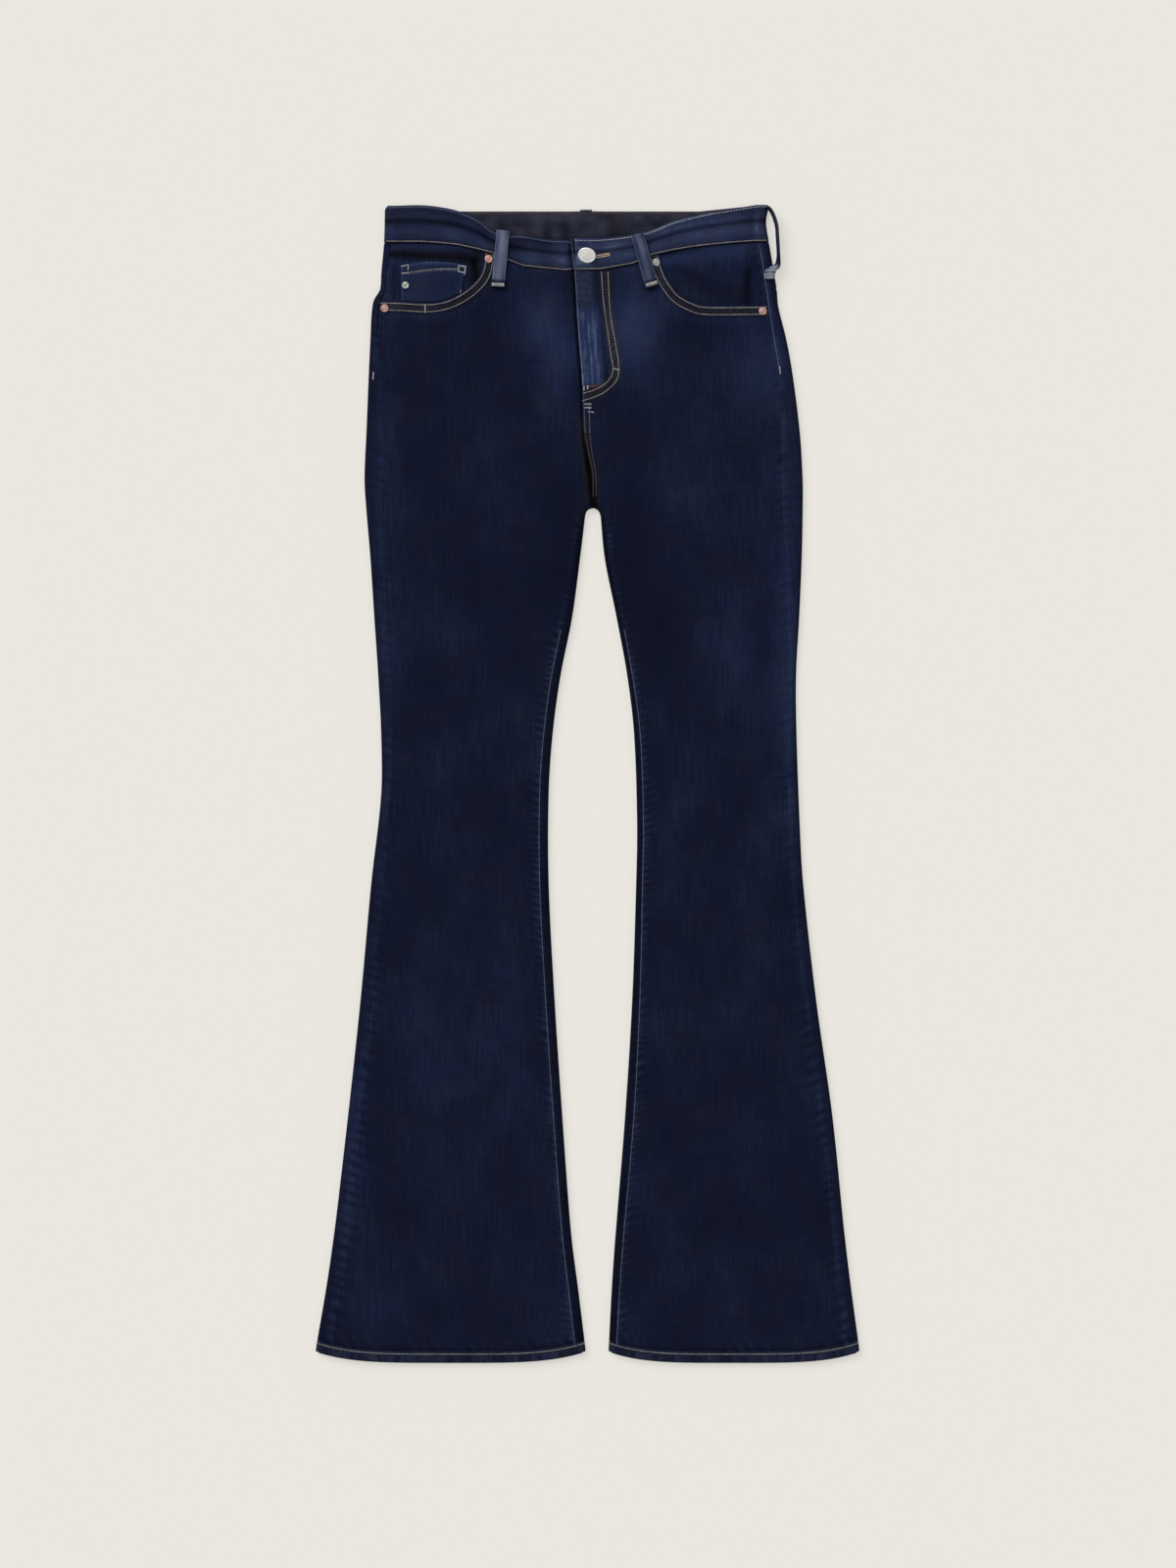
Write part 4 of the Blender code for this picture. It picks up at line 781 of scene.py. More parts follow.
def frontPanel(side):
    gap, sign = cloth["seamGap"] / 2, side.sign
    endX = side.scoop[-1][0]
    opening = side.scoop.copy()
    opening[0, 0] = outseamX(side, opening[0, 1]) - sign * gap
    opening[-1] = (endX, waistSeam(side, endX) - 2 * gap)
    centreX = lineAt(centreLine, garment["flyTopY"]) + sign * gap
    waistX = np.linspace(endX, centreX, panelForm["waistSteps"])
    head = []
    for line in (opening, plan(waistX, waistSeam(side, waistX) - 2 * gap)):
        keys = runLengths(line)
        part = np.stack([np.interp(spread(keys[-1]), keys, line[:, k]) for k in (0, 1)], 1)
        head.append(part if not head else part[1:])
    head = np.concatenate(head)
    run = runLengths(head)
    outer, inner = outseamX(side, legRows) - sign * gap, innerEdge(side, legRows) + sign * gap
    x = mix(outer, inner, (run / run[-1])[None])
    y = rowHeight(side, legRows, hemBend(legRows), x)
    reach = shares(panelForm["topReach"], panelForm["topCell"])[:-3, None, None]
    top = mix(head[None], plan(x[0], y[0])[None], reach)
    x, y = np.concatenate([top[..., 0], x]), np.concatenate([top[..., 1], y])
    toScoop, past = pathDistance(x, y, side.scoop), pastCentre(x, y)
    near = toScoop - panelForm["rowsMiddle"]
    warm = panelForm["warm"] * bell(near, panelForm["warmReach"])
    if sign > 0:
        toCurve = (pathDistance(x, y, flyInner) + pathDistance(x, y, flyOuter)) / 2 - panelForm["curveMiddle"]
        beyond = np.where(toScoop > panelForm["curveFrom"], toCurve, 99)
        near = np.where(y > panelForm["curveY"], np.minimum(near, beyond), near)
        curveWarm = panelForm["warm"] * bell(np.maximum(toCurve, 0), panelForm["curveWarmReach"])
        warm = np.maximum(warm, curveWarm * (y > panelForm["curveY"] - 2))
        warm = np.maximum(warm, panelForm["flyWarm"] * ease((y - 462) / 24) * ease((22 - past) / 10))
    crotchWarm = panelForm["crotchWarm"] * bell(past, panelForm["crotchReach"])
    warm = np.maximum(warm, crotchWarm * ease((362 - y) / 10) * ease((y - garment["archY"]) / 4))
    z = upperFace(x, y) + frontLift(side, x, y) + flyForm(side, x, y)
    z = z + rowPuckers["height"] * bell(near, rowPuckers["reach"]) * rowBlobs(x, y)
    z = z + near3("sunk", toScoop) + near3("edge", toScoop)
    worn = wearAndShadeAt(x, y) + near3("edgeDye", toScoop) + near3("bandDye", toScoop) + rowWearAndShadeAt(near, x, y)
    clothWall(f"front_{side.name}_cloth", *wallGrids(x, y, z, -cloth["denim"]), plan(x, y), worn, warm=warm)


def flyForm(side, x, y):    # ridges and grooves of the centre front
    f, past = flyRelief, side.sign * pastCentre(x, y)
    upper = ease((y - panelForm["curveY"]) / 14)
    groove = f["groove"] * ease((f["grooveY"] - y) / f["grooveRun"])
    if side.sign < 0:
        return f["rightEdge"] * bell(past, f["rightReach"]) * upper + groove * bell(past, f["rightWide"])
    ridge = f["ridge"] * bell(past - f["ridgeX"], f["ridgeWide"]) * upper
    streaks = f["streak"] * np.cos(2 * np.pi * past / f["pitch"]) * ease((20 - past) / 6)
    streaks = streaks * upper * ease((f["streakTop"] - y) / 14)
    across = f["across"] * crossRidges(x, y) * ease((y - f["acrossY"]) / 8)
    across = across * ease((14 - np.abs(past - f["acrossX"])) / 8)
    curve = np.minimum(pathDistance(x, y, flyInner), pathDistance(x, y, flyOuter))
    pucker = f["pucker"] * np.sin((y * 0.9 - x * 0.5) * 1.3) * bell(curve, f["puckerReach"])
    return ridge + streaks + across + pucker + groove * bell(past - f["grooveX"], f["grooveWide"])


backForm = {
    "lipSteps": (0, 0.05, 0.13, 0.26, 0.42, 0.58, 0.75, 1.0),
    "yokeLipSteps": (0, 0.06, 0.16, 0.34, 0.55, 0.78, 1.0),
    "flatSteps": 56, "yokeSteps": 80, "inseamSteps": 5, "yokeHeight": 45.0, "yokeLap": 0.5,
    "middleGap": 0.2, "archLap": -0.4,    # the two sides lap over at the top of the arch
}
foldAngles = (np.pi * np.arange(1, 12) / 12)[None]


def foldBlock(start, sign, y, angle, radius, wall):    # cloth round a folded edge
    return tuple(grid3(start + sign * r * np.sin(angle), y, radius + r * np.cos(angle))
                 for r in (radius, radius - wall))


def backWall(name, blocks):
    outer, inner = joined(blocks)
    x, y = np.nan_to_num(outer[..., 0]), np.nan_to_num(outer[..., 1])
    clothWall(name, outer, inner, plan(runLengths(outer, 1), y), wearAndShadeAt(x, y))


def backPanel(side):
    gap, sign, radius, wall = cloth["seamGap"] / 2, side.sign, cloth["foldRadius"], cloth["denim"]
    topRows = garment["yokeSideY"] - spread(garment["yokeSideY"] - garment["seatY"])[:-3, None]
    rowY = np.concatenate([topRows, legRows])
    rise = (rowY - garment["seatY"]) / (garment["yokeSideY"] - garment["seatY"])
    archTop = garment["archY"] + garment["archRadius"]
    outer, below = outerFold(side, rowY), rowY < archTop + garment["archSeam"] + 0.01
    start = outer - sign * radius
    inner = innerFold(side, rowY) + sign * np.where(rowY < archTop, gap, backForm["archLap"])
    end = np.where(below, inner + sign * radius, garment["crotchX"] - sign * backForm["middleGap"])

    def yAt(x):
        upper = mix(garment["seatY"], yokeSeam(side, x) - gap, rise)
        return np.where(rise > 0, upper, rowHeight(side, rowY, hemBend(rowY), x))

    def lipBlock(x):
        return wallGrids(x, yAt(x), upperFace(x, yAt(x)), -wall)

    outseam, inseam = outseamX(side, rowY) + sign * gap, innerEdge(side, rowY) - sign * gap
    flat = mix(start, end, np.linspace(0, 1, backForm["flatSteps"])[None])
    blocks = [lipBlock(mix(outseam, start, np.array(backForm["lipSteps"])[None])),
              foldBlock(start, sign, yAt(outer), foldAngles, radius, wall),
              wallGrids(flat, yAt(flat), underFace(flat, yAt(flat), True), wall)]
    for block in (foldBlock(end, -sign, yAt(inner), np.pi - foldAngles, radius, wall),
                  lipBlock(mix(end, inseam, np.linspace(0, 1, backForm["inseamSteps"])[None]))):
        blocks.append(tuple(np.where(below[..., None], grid, np.nan) for grid in block))
    backWall(f"back_{side.name}_cloth", blocks)


def backYoke(side):
    gap, sign, radius, wall = cloth["seamGap"] / 2, side.sign, cloth["foldRadius"], cloth["denim"]
    seamY = waistSeam(side, outseamX(side, garment["bandSideY"]))
    share = shares(backForm["yokeHeight"])[:, None]
    sideY = mix(seamY - gap, garment["yokeSideY"] + gap, share)
    start = outerFold(side, sideY) - sign * radius
    lip = mix(outseamX(side, sideY) + sign * gap, start, np.array(backForm["yokeLipSteps"])[None])
    middle = garment["crotchX"] - sign * backForm["middleGap"]
    flat = mix(start, middle, np.linspace(0, 1, backForm["yokeSteps"])[None])
    high = backHeight(side, flat, seamY, garment["backSeamY"]) + backForm["yokeLap"]
    y = mix(high, yokeSeam(side, flat) + gap, share)
    backWall(f"yoke_{side.name}_cloth", [wallGrids(lip, sideY, upperFace(lip, sideY), -wall),
                                         foldBlock(start, sign, sideY, foldAngles, radius, wall),
                                         wallGrids(flat, y, underFace(flat, y, True), wall)])


facingFolds = {
    "right": table(Fold, [(-196, 520, -192, 490, 5, -0.5), (-186, 520, -114, 514, 3.8, -1.1)]),
    "left": table(Fold, [(158, 514, 158, 476, 4, -0.9), (96, 512, 104, 488, 6, -0.4),
                         (148, 514, 146, 480, 5, 0.4)]),
}
facingShades = {    # the same way, for the colour: painted shade in the facing's troughs and under the band, with a little lightening on the left
    "right": table(Fold, [(-200, 522, -110, 517, 4.4, -0.30), (-112, 512, -109, 496, 5.0, -0.32),
                          (-190, 506, -189, 480, 6, -0.12)]),
    "left": table(Fold, [(158, 506, 157, 476, 4, -0.22), (74, 514, 150, 524, 7, 0.10),
                         (98, 500, 140, 482, 9, -0.06)]),
}
facing = {"cell": 1.8, "width": 100.0, "sideInset": 6.0, "lowInset": 2.0,
          "level": {"right": 0.08, "left": 0.02},
          "warm": {"right": 0.4, "left": 0.0}, "warmFrom": -0.2, "uneven": 2.0}


def pocketFacing(side):
    gap, sign = cloth["seamGap"], side.sign
    cornerY = side.scoop[0][1]
    edgeX, lowY = side.facingEdge[-1][0], lineAt(side.facingEdge, outseamX(side, cornerY))
    topY = waistSeam(side, outseamX(side, garment["bandSideY"])) - gap
    level = shares(topY - lowY, 2.0)[:, None]
    sideY = mix(topY, lowY, level)
    inset = gap * mix(facing["sideInset"], facing["lowInset"], ease((sideY - cornerY + 6) / 5))
    x = mix(outseamX(side, sideY) - sign * inset, edgeX, shares(facing["width"], facing["cell"])[None])
    y = mix(waistSeam(side, x) - gap, lineAt(side.facingEdge, x), level)
    z = facingFace(side, x, y)
    shade, warm = wearAndShadeAt(x, y) + facing["level"][side.name], 0 * x
    for f in facingShades[side.name]:
        distance, along = lineDistance(x, y, f.x0, f.y0, f.x1, f.y1)
        # painted shade in each dip, with a brown tint in the darker dips
        dip = bell(distance, f.width * (0.7 + 0.6 * along))
        shade = shade + f.height * dip
        warm = np.maximum(warm, facing["warm"][side.name] * dip * (f.height < facing["warmFrom"]))
    clothWall(f"facing_{side.name}_cloth", *wallGrids(x, y, z, -cloth["denim"]), plan(x, y), shade, warm=warm)


def facingFace(side, x, y):
    trough = foldRelief(facingFolds[side.name], x, y, facing["uneven"])
    return upperFace(x, y) + facingLift(side, x, y) + trough


coin = {"leftX": -183.3, "rightX": -118.2, "lowRightX": -125.0, "topY": 510.2, "arch": 3.5, "toScoop": 1.2,
        "clear": 0.4, "width": 62.0, "height": 36.0, "cell": 1.8,
        "level": 0.11, "topEdge": (0.20, 2.2), "leftEdge": (0.16, 1.6), "rightEdge": (0.12, 5.0)}    # the dye


def coinPocket():
    v, u = shares(coin["height"], coin["cell"])[:, None], shares(coin["width"], coin["cell"])[None]
    x = mix(coin["leftX"], mix(coin["rightX"], coin["lowRightX"], v), u)
    high = coin["topY"] + coin["arch"] * np.sin(np.pi * u)
    y = mix(high, lineAt([tuple(p) for p in right.scoop], x) + coin["toScoop"], v)
    z = facingFace(right, x, y) + coin["clear"]
    patchy = (0.6 + 0.8 * softNoise(x, y, 2.2, 47)) * ease(v * 3)
    worn = wearAndShadeAt(x, y) + coin["level"]
    for key, distance, share in (("topEdge", v * coin["height"], 1.0), ("leftEdge", u * coin["width"], 1.0),
                                 ("rightEdge", (1 - u) * coin["width"], patchy)):
        amount, reach = coin[key]
        worn = worn + amount * bell(distance, reach) * share
    clothWall("coin_pocket_cloth", *wallGrids(x, y, z, cloth["coin"])[::-1], plan(x, y), worn)


band = {
    "height": 34.0, "cell": 2.0, "backSteps": 150, "swell": 0.12, "swellSize": 24,
    "creases": [    # share of the height, reach, amount, and what the crease adds
        (0.5, 0.22, 0.0, -1.2), (0.58, 0.05, -0.3, -0.35), (0.70, 0.08, 0.3, 0.0), (1.0, 0.07, -0.5, 0.0),
        (0.0, 0.06, -0.3, 0.0)],
    # dye: share of the height, reach, amount; a pale worn top edge, a paler ridge, painted light on the lower
    # half, and painted shade in the crease and along the lower edge
    "dye": [(1.0, 0.08, 0.16), (0.30, 0.16, 0.09), (0.74, 0.1, 0.05), (0.58, 0.055, -0.20),
            (0.0, 0.035, -0.14)],
    "blotch": 0.07, "blotchSize": 16, "insideDye": 0.06, "insideShadeRise": 0.12, "insideBlotch": 0.10,
    "insideSize": 9, "warm": 0.12, "warmInside": 0.55,
}


def waistband():
    levels = shares(band["height"], band["cell"])[None]
    up, down = levels * band["height"], (1 - levels) * band["height"]
    radius, wall = cloth["bandFoldRadius"], cloth["band"]

    def front(side):
        ends = (side.band[0].x, side.band[-1].x)
        x = np.linspace(*ends, int(abs(ends[1] - ends[0]) / cloth["grid"]))[:, None]
        y = mix(waistSeam(side, x), bandAt(side, "top", x), levels)
        z, crease = bandAt(side, "face", x), bandAt(side, "crease", x)
        for at, reach, amount, creased in band["creases"]:
            z = z + (amount + creased * crease) * bell(levels - at, reach)
        z = z + seamRipple("bandSeam", up, x + 0 * y) + seamRipple("bandTop", down, x + 0 * y)
        z = z + band["swell"] * softNoise(x, y, band["swellSize"], 8)
        if side.sign > 0:
            toLap = garment["lapReach"] - np.abs(x - side.band[0].x)
            x = x - garment["lapLean"] * levels * ease(toLap / garment["lapReach"])
        return wallGrids(x, y, z, -wall)

    def fold(side):
        last = side.band[-1]
        y = mix(last.seam, last.top, levels)
        start = outerFold(side, y) - side.sign * radius
        angle = (np.pi * np.arange(0, 13) / 12)[:, None]
        corner = np.sin(angle) ** 2 * ease((levels - 0.55) / 0.45) ** 2 * (side.sign < 0)
        return foldBlock(start, side.sign, y - garment["bandCorner"] * corner, angle, radius, wall)

    x = np.linspace(backStops[0], backStops[-1], band["backSteps"])[:, None]
    y = mix(backLine(x, "seam", garment["backSeamY"]), backLine(x, "top", garment["backTopY"]), levels)
    z = underFace(x, y)
    inside = z + wall + seamRipple("bandInside", down, x + 0 * y) * (levels > 0.3)
    outer, inner = joined([front(right), fold(right), (grid3(x, y, z), grid3(x, y, inside)),
                           [g[::-1] for g in fold(left)], [g[::-1] for g in front(left)]], 0)
    along = runLengths(outer[:, 8])[:, None]
    place = (along + 0 * levels, 40 * levels + 0 * along)
    worn = wearAndShadeAt(outer[..., 0], outer[..., 1]) + band["blotch"] * softNoise(*place, band["blotchSize"], 64)
    for at, reach, amount in band["dye"]:
        worn = worn + amount * bell(levels - at, reach)
    # the band's inside is darker towards its lower edge, under the front band: painted shade
    wearAndShadeInside = (band["insideDye"] + band["insideShadeRise"] * levels
                  + band["insideBlotch"] * softNoise(*place, band["insideSize"], 65))
    clothWall("waistband_cloth", outer, inner, plan(up, along), worn, wearAndShadeInside,
              warm=band["warm"], warmInside=band["warmInside"])


hemForm = {
    "steps": 120, "cell": 1.4, "rope": 0.22, "pitch": 8.5, "slant": 26.0, "ropeFade": 9.0,
    "dye": 0.05, "blotch": 0.04, "speckle": 0.10, "edge": (0.05, 0.96, 0.1), "warm": 0.2,
}


def hem(side):
    radius, wall, count = cloth["foldRadius"] + garment["hemLift"] / 2, cloth["hem"], hemForm["steps"]
    rowY = hemTopY - spread(garment["hemHeight"], hemForm["cell"])[:, None]
    outer, inner = outerFold(side, rowY), innerFold(side, rowY)
    a, b = outer - side.sign * radius, inner + side.sign * radius
    share = ((1 - np.cos(np.pi * np.arange(count + 1) / count)) / 2)[None]
    upX, downX = mix(b, a, share), mix(a, b, share)

    def yAt(x):
        return rowHeight(side, rowY, 1.0, x)

    toEdge = np.minimum(np.abs(upX - outer), np.abs(upX - inner))
    turns = upX / hemForm["pitch"] + 0.35 * softNoise(upX, 0 * upX, 25, 61) + rowY / hemForm["slant"]
    z = upperFace(upX, yAt(upX), False) + garment["hemLift"] + ease(toEdge / hemForm["ropeFade"]) * (
        hemForm["rope"] * np.sin(2 * np.pi * turns) + smallRelief(upX, yAt(upX)))
    outerGrid, innerGrid = joined([wallGrids(upX, yAt(upX), z, -wall),
                                   foldBlock(a, side.sign, yAt(outer), foldAngles, radius, wall),
                                   wallGrids(downX, yAt(downX), 0 * downX, wall),
                                   foldBlock(b, -side.sign, yAt(inner), np.pi - foldAngles, radius, wall)])
    along, high = runLengths(outerGrid, 1), (rowY - garment["hemY"]) / garment["hemHeight"]
    amount, at, reach = hemForm["edge"]
    worn = hemForm["dye"] + hemForm["blotch"] * softNoise(along, 0 * along, 9, 63)
    worn = worn + amount * bell(high - at, reach)
    worn = worn + hemForm["speckle"] * softNoise(along, 0 * along, 2.2, 66) * ease((0.72 - high) / 0.2)
    clothWall(f"hem_{side.name}_cloth", outerGrid, innerGrid, plan(along, outerGrid[..., 1]), worn, ring=True,
              warm=hemForm["warm"])


pocketForm = {"width": 130.0, "dye": 0.02, "edgeDye": 0.16, "edgeReach": 5.0}


def backPocket(side):
    top, bottom, corner = under["pocketTop"], under["pocketBottom"], under["pocketCornerY"]
    y = (top - spread(top - bottom))[:, None]
    half = lineAt([(top, under["pocketWidth"] / 2), (corner, under["pocketLowWidth"] / 2), (bottom, 1.0)], y)
    across = half * (2 * shares(pocketForm["width"])[None] - 1)
    x = side.pocketX + across
    worn = pocketForm["dye"] + pocketForm["edgeDye"] * bell(half - np.abs(across), pocketForm["edgeReach"])
    clothWall(f"back_pocket_{side.name}_cloth", *wallGrids(x, y, 0 * x, cloth["patch"]), plan(x, y), worn)


for side in sides:
    frontPanel(side)
    backPanel(side)
    backYoke(side)
    pocketFacing(side)
    hem(side)
    backPocket(side)
coinPocket()
waistband()

print("belt loops")
loopForm = {"wall": 1.6, "width": 12.5, "sideWidth": 11.0, "sideWall": 2.2, "step": 0.9, "length": 53.1,
            "tackAt": 0.94, "tack": -0.4, "tackShadowReach": 2.6, "leftTone": -0.12, "sideShade": -0.5, "warm": 0.3,
            "edgeDye": 0.10, "streak": 0.20, "streakPitch": 0.53, "blotch": 0.16}
loopTop = [(-0.8, 1.12), (-0.55, 0.8), (-0.3, 0.7), (0.3, 0.7), (0.55, 0.8), (0.8, 1.12)]
loopSection = ([(-1, 0), (-1, -0.5), (-0.95, -0.85), (-0.86, -1), (0, -1), (0.86, -1), (0.95, -0.85),
                (1, -0.5), (1, 0), (1, 0.5), (0.95, 0.95), (0.88, 1.15)]
               + [(s, float(lineAt(loopTop, s))) for s in np.linspace(0.8, -0.8, 17)]
               + [(-0.88, 1.15), (-0.95, 0.95), (-1, 0.5)])


def tubeFaces(index):    # the faces between the rings of a tube
    after = np.roll(index, -1, axis=1)
    return np.stack([index[:-1], after[:-1], after[1:], index[1:]], -1).reshape(-1, 4).tolist()


def ribbon(name, stations, width, shade=0.0, tackAt=None, tone=0.0):
    # each station: x, y, z, turn in degrees, wall, and the way across where it isn't the x axis
    line = walk(stations, loopForm["step"])
    centre, turn, wall = line[:, :3], np.radians(line[:, 3]), line[:, 4]
    side = np.stack([np.cos(turn), 0 * turn, np.sin(turn)], 1)
    if line.shape[1] > 5:
        side[:, :2] = line[:, 5:]
    normal = np.cross(side, np.gradient(centre, axis=0))
    normal /= np.linalg.norm(normal, axis=1)[:, None]
    along = runLengths(centre)[:, None]
    s, t = np.array(loopSection).T[:, None]
    bumps = 1 + 0.05 * softNoise(along + 0 * s, 3 * s, 3.0, 71)
    points = (centre[:, None] + side[:, None] * (s[..., None] * width / 2)
              + normal[:, None] * (t * wall[:, None] / 2 * bumps)[..., None])
    index = np.arange(points[..., 0].size).reshape(len(points), -1)
    faces = tubeFaces(index) + [index[0, ::-1].tolist(), index[-1].tolist()]
    streaks = loopForm["streak"] * np.cos(2 * np.pi * s / loopForm["streakPitch"])
    worn = loopForm["edgeDye"] * (np.abs(s) > 0.7) + streaks + tone + shade * ease((centre[:, 1:2] - 507) / 6)
    # painted shadow round the bar tack
    if tackAt is not None:
        worn = worn + loopForm["tack"] * bell(along - tackAt, loopForm["tackShadowReach"])
    worn = worn + loopForm["blotch"] * softNoise(s * 16, along * 0.3, 5, 73)
    wear = {"worn": worn.ravel(), "warm": np.full(worn.size, loopForm["warm"])}
    uvs = plan(s * width / 2, along).reshape(-1, 2)
    return addPiece(name, points.reshape(-1, 3), faces, loopDenim, uvs=uvs, wear=wear)


frontLoops = {    # top and bottom ends, the band's face and the panel's there
    "loop_front_right_cloth": ((-83.0, 544.0), (-88.0, 489.5), 7.7, 7.0),
    "loop_front_left_cloth": ((49.0, 540.6), (63.5, 489.5), 8.35, 6.9),
}
loopStations = [    # along, share of the panel, height over, wall
    (0, 0, 0, 1.0), (0.8, 0, 0.4, 1.5), (3.5, 0, 0.65, 1.4), (5, 0, 0.9, 1.0), (12, 0, 1.3, 1.0),
    (22, 0, 1.3, 1.0), (32, 0, 0.5, 1.0), (40, 0.5, 0, 1.0), (46, 1, 0, 1.0), (47.5, 1, 0.4, 1.55),
    (52, 1, 0.4, 1.55), (53.1, 1, 0, 1.0)]
sideStations = [    # x, y, z, turn
    (175.8, 567.6, 6.6, 84), (178.8, 565.8, 6.6, 84), (181.8, 561.4, 6.6, 84), (184.3, 555.0, 6.6, 84),
    (186.1, 548.0, 6.6, 84), (186.7, 539.0, 6.6, 84), (187.3, 530.0, 6.6, 84), (187.7, 521.0, 6.7, 84),
    (187.4, 513.0, 7.2, 74), (186.0, 509.8, 8.2, 54), (183.4, 507.4, 9.8, 24), (180.6, 505.0, 9.9, 8),
    (179.2, 501.4, 9.3, 0), (178.8, 496.6, 8.9, 0)]

for name, (top, bottom, face, panel) in frontLoops.items():
    length = math.dist(top, bottom)
    down = ((bottom[0] - top[0]) / length, (bottom[1] - top[1]) / length)
    rest = loopForm["wall"] / 2 + cloth["seamGap"] + 0.1
    rows = []
    for a, share, over, wall in loopStations:
        at = a * length / loopForm["length"]
        rows.append((top[0] + down[0] * at, top[1] + down[1] * at, mix(face, panel, share) + rest + over, 0,
                     loopForm["wall"] * wall, -down[1], down[0]))
    ribbon(name, rows, loopForm["width"], tackAt=loopForm["tackAt"] * length,
           tone=loopForm["leftTone"] if "left" in name else 0.0)
# the side loop's strap, above its sewn end, is darkened: painted shade
ribbon("loop_side_left_cloth", [(*s, loopForm["sideWall"]) for s in sideStations], loopForm["sideWidth"],
       loopForm["sideShade"])
for name, x in (("loop_side_right_cloth", under["sideLoopX"]),
                ("loop_centre_back_cloth", under["centreLoopX"])):
    half = cloth["patch"] / 2
    tip = max(float(backLine(x + d, "top", garment["backTopY"])) for d in (-7, 7)) + cloth["seamGap"] + half
    rows = [(under["loopEndY"], half), (tip - 1.6, half), (tip - 0.1, half + 0.5), (tip + 0.1, 2.2),
            (tip + 0.1, 4.4)]
    ribbon(name, [(x, *row, 0, cloth["patch"]) for row in rows], loopForm["width"] - 0.5)

print("metal")
metal = {
    "button": (-0.5, 520.0, 9.2), "tilt": 24.0, "pivot": 2.6, "oval": (1.06, 0.92, -14.0),
    "stud": (-179.0, 490.5), "studLift": 0.3, "step": 0.28,
    "rivets": {"rivet_right_waist": (-97.2, 516.4), "rivet_right_side": (-199.5, 468.0),
               "rivet_left_waist": (67.4, 513.0), "rivet_left_side": (172.4, 465.0)},
}
# the metal's outlines, from the axis: radius, height
buttonProfile = [(0, 0), (3.3, 0), (3.5, 0.4), (2.9, 1.3), (3.2, 2.6), (6.6, 2.8), (8.0, 3.1), (8.4, 3.7),
                 (8.25, 4.4), (7.6, 4.85), (6.9, 4.8), (6.4, 4.6), (5.6, 4.75), (3.5, 5.2), (1.6, 5.42),
                 (0, 5.5)]
rivetProfile = [(0, 0), (3.6, 0), (3.9, 0.2), (3.85, 0.55), (3.3, 1.0), (2.5, 1.05), (1.9, 0.85), (1.5, 1.0),
                (1.2, 1.4), (0.7, 1.65), (0, 1.7)]


def turned(name, centre, profile, steps, material):
    line = walk(profile, metal["step"])
    line[:, 0] = np.maximum(line[:, 0], 0)
    angle = 2 * np.pi * np.arange(steps) / steps
    rings = line[1:-1]
    around = grid3(rings[:, :1] * np.cos(angle), rings[:, :1] * np.sin(angle), rings[:, 1:])
    points = np.concatenate([[[0, 0, line[0, 1]]], around.reshape(-1, 3), [[0, 0, line[-1, 1]]]])
    if name == "button_metal":
        leanButton(points)
    index = 1 + np.arange(len(rings) * steps).reshape(-1, steps)
    after, last = np.roll(index, -1, axis=1), len(points) - 1
    faces = tubeFaces(index)
    faces += [[0, int(after[0, k]), int(index[0, k])] for k in range(steps)]
    faces += [[last, int(index[-1, k]), int(after[-1, k])] for k in range(steps)]
    return addPiece(name, points + np.array(centre), faces, material, 35.0)


def leanButton(points):    # the head leans on its shank, and it is pressed a little oval
    pivot, (wide, high, turn) = metal["pivot"], metal["oval"]
    lean = math.radians(metal["tilt"]) * ease((points[:, 2] - 1.2) / 1.4)
    y, z = points[:, 1].copy(), points[:, 2] - pivot
    x, y = points[:, 0] * wide, (y * np.cos(lean) - z * np.sin(lean)) * high
    points[:, 2] = pivot + points[:, 1] * np.sin(lean) + z * np.cos(lean)
    turn = math.radians(turn)
    points[:, 0] = x * math.cos(turn) - y * math.sin(turn)
    points[:, 1] = x * math.sin(turn) + y * math.cos(turn)


def restHeight(x, y, lift, side):    # the highest cloth under a rivet
    spots = [(np.array(x + d), np.array(y + e)) for d in (-4, 0, 4) for e in (-4, 0, 4)]
    return max(float(upperFace(a, b, False) + lift(side, a, b)) for a, b in spots)


turned("button_metal", metal["button"], buttonProfile, 56, metals["silver"])
for name, (x, y) in metal["rivets"].items():
    z = restHeight(x, y, frontLift, right if x < 0 else left) + cloth["seamGap"]
    material = metals["steel" if name == "rivet_left_waist" else "copper"]
    turned(f"{name}_metal", (x, y, z), rivetProfile, 28, material)
x, y = metal["stud"]
z = restHeight(x, y, facingLift, right) + coin["clear"] + cloth["coin"] + metal["studLift"]
turned("stud_metal", (x, y, z), [(r * 0.9, h) for r, h in rivetProfile], 28, metals["steel"])

print("sewing")
sewing = {
    "pitch": 2.8, "step": 1.2, "tackPitch": 0.5, "holePitch": 0.45, "sink": 0.22, "seed": 7, "uneven": 0.1,
    "lift": 0.10, "tackLift": 0.25, "holeLift": 0.2,
}


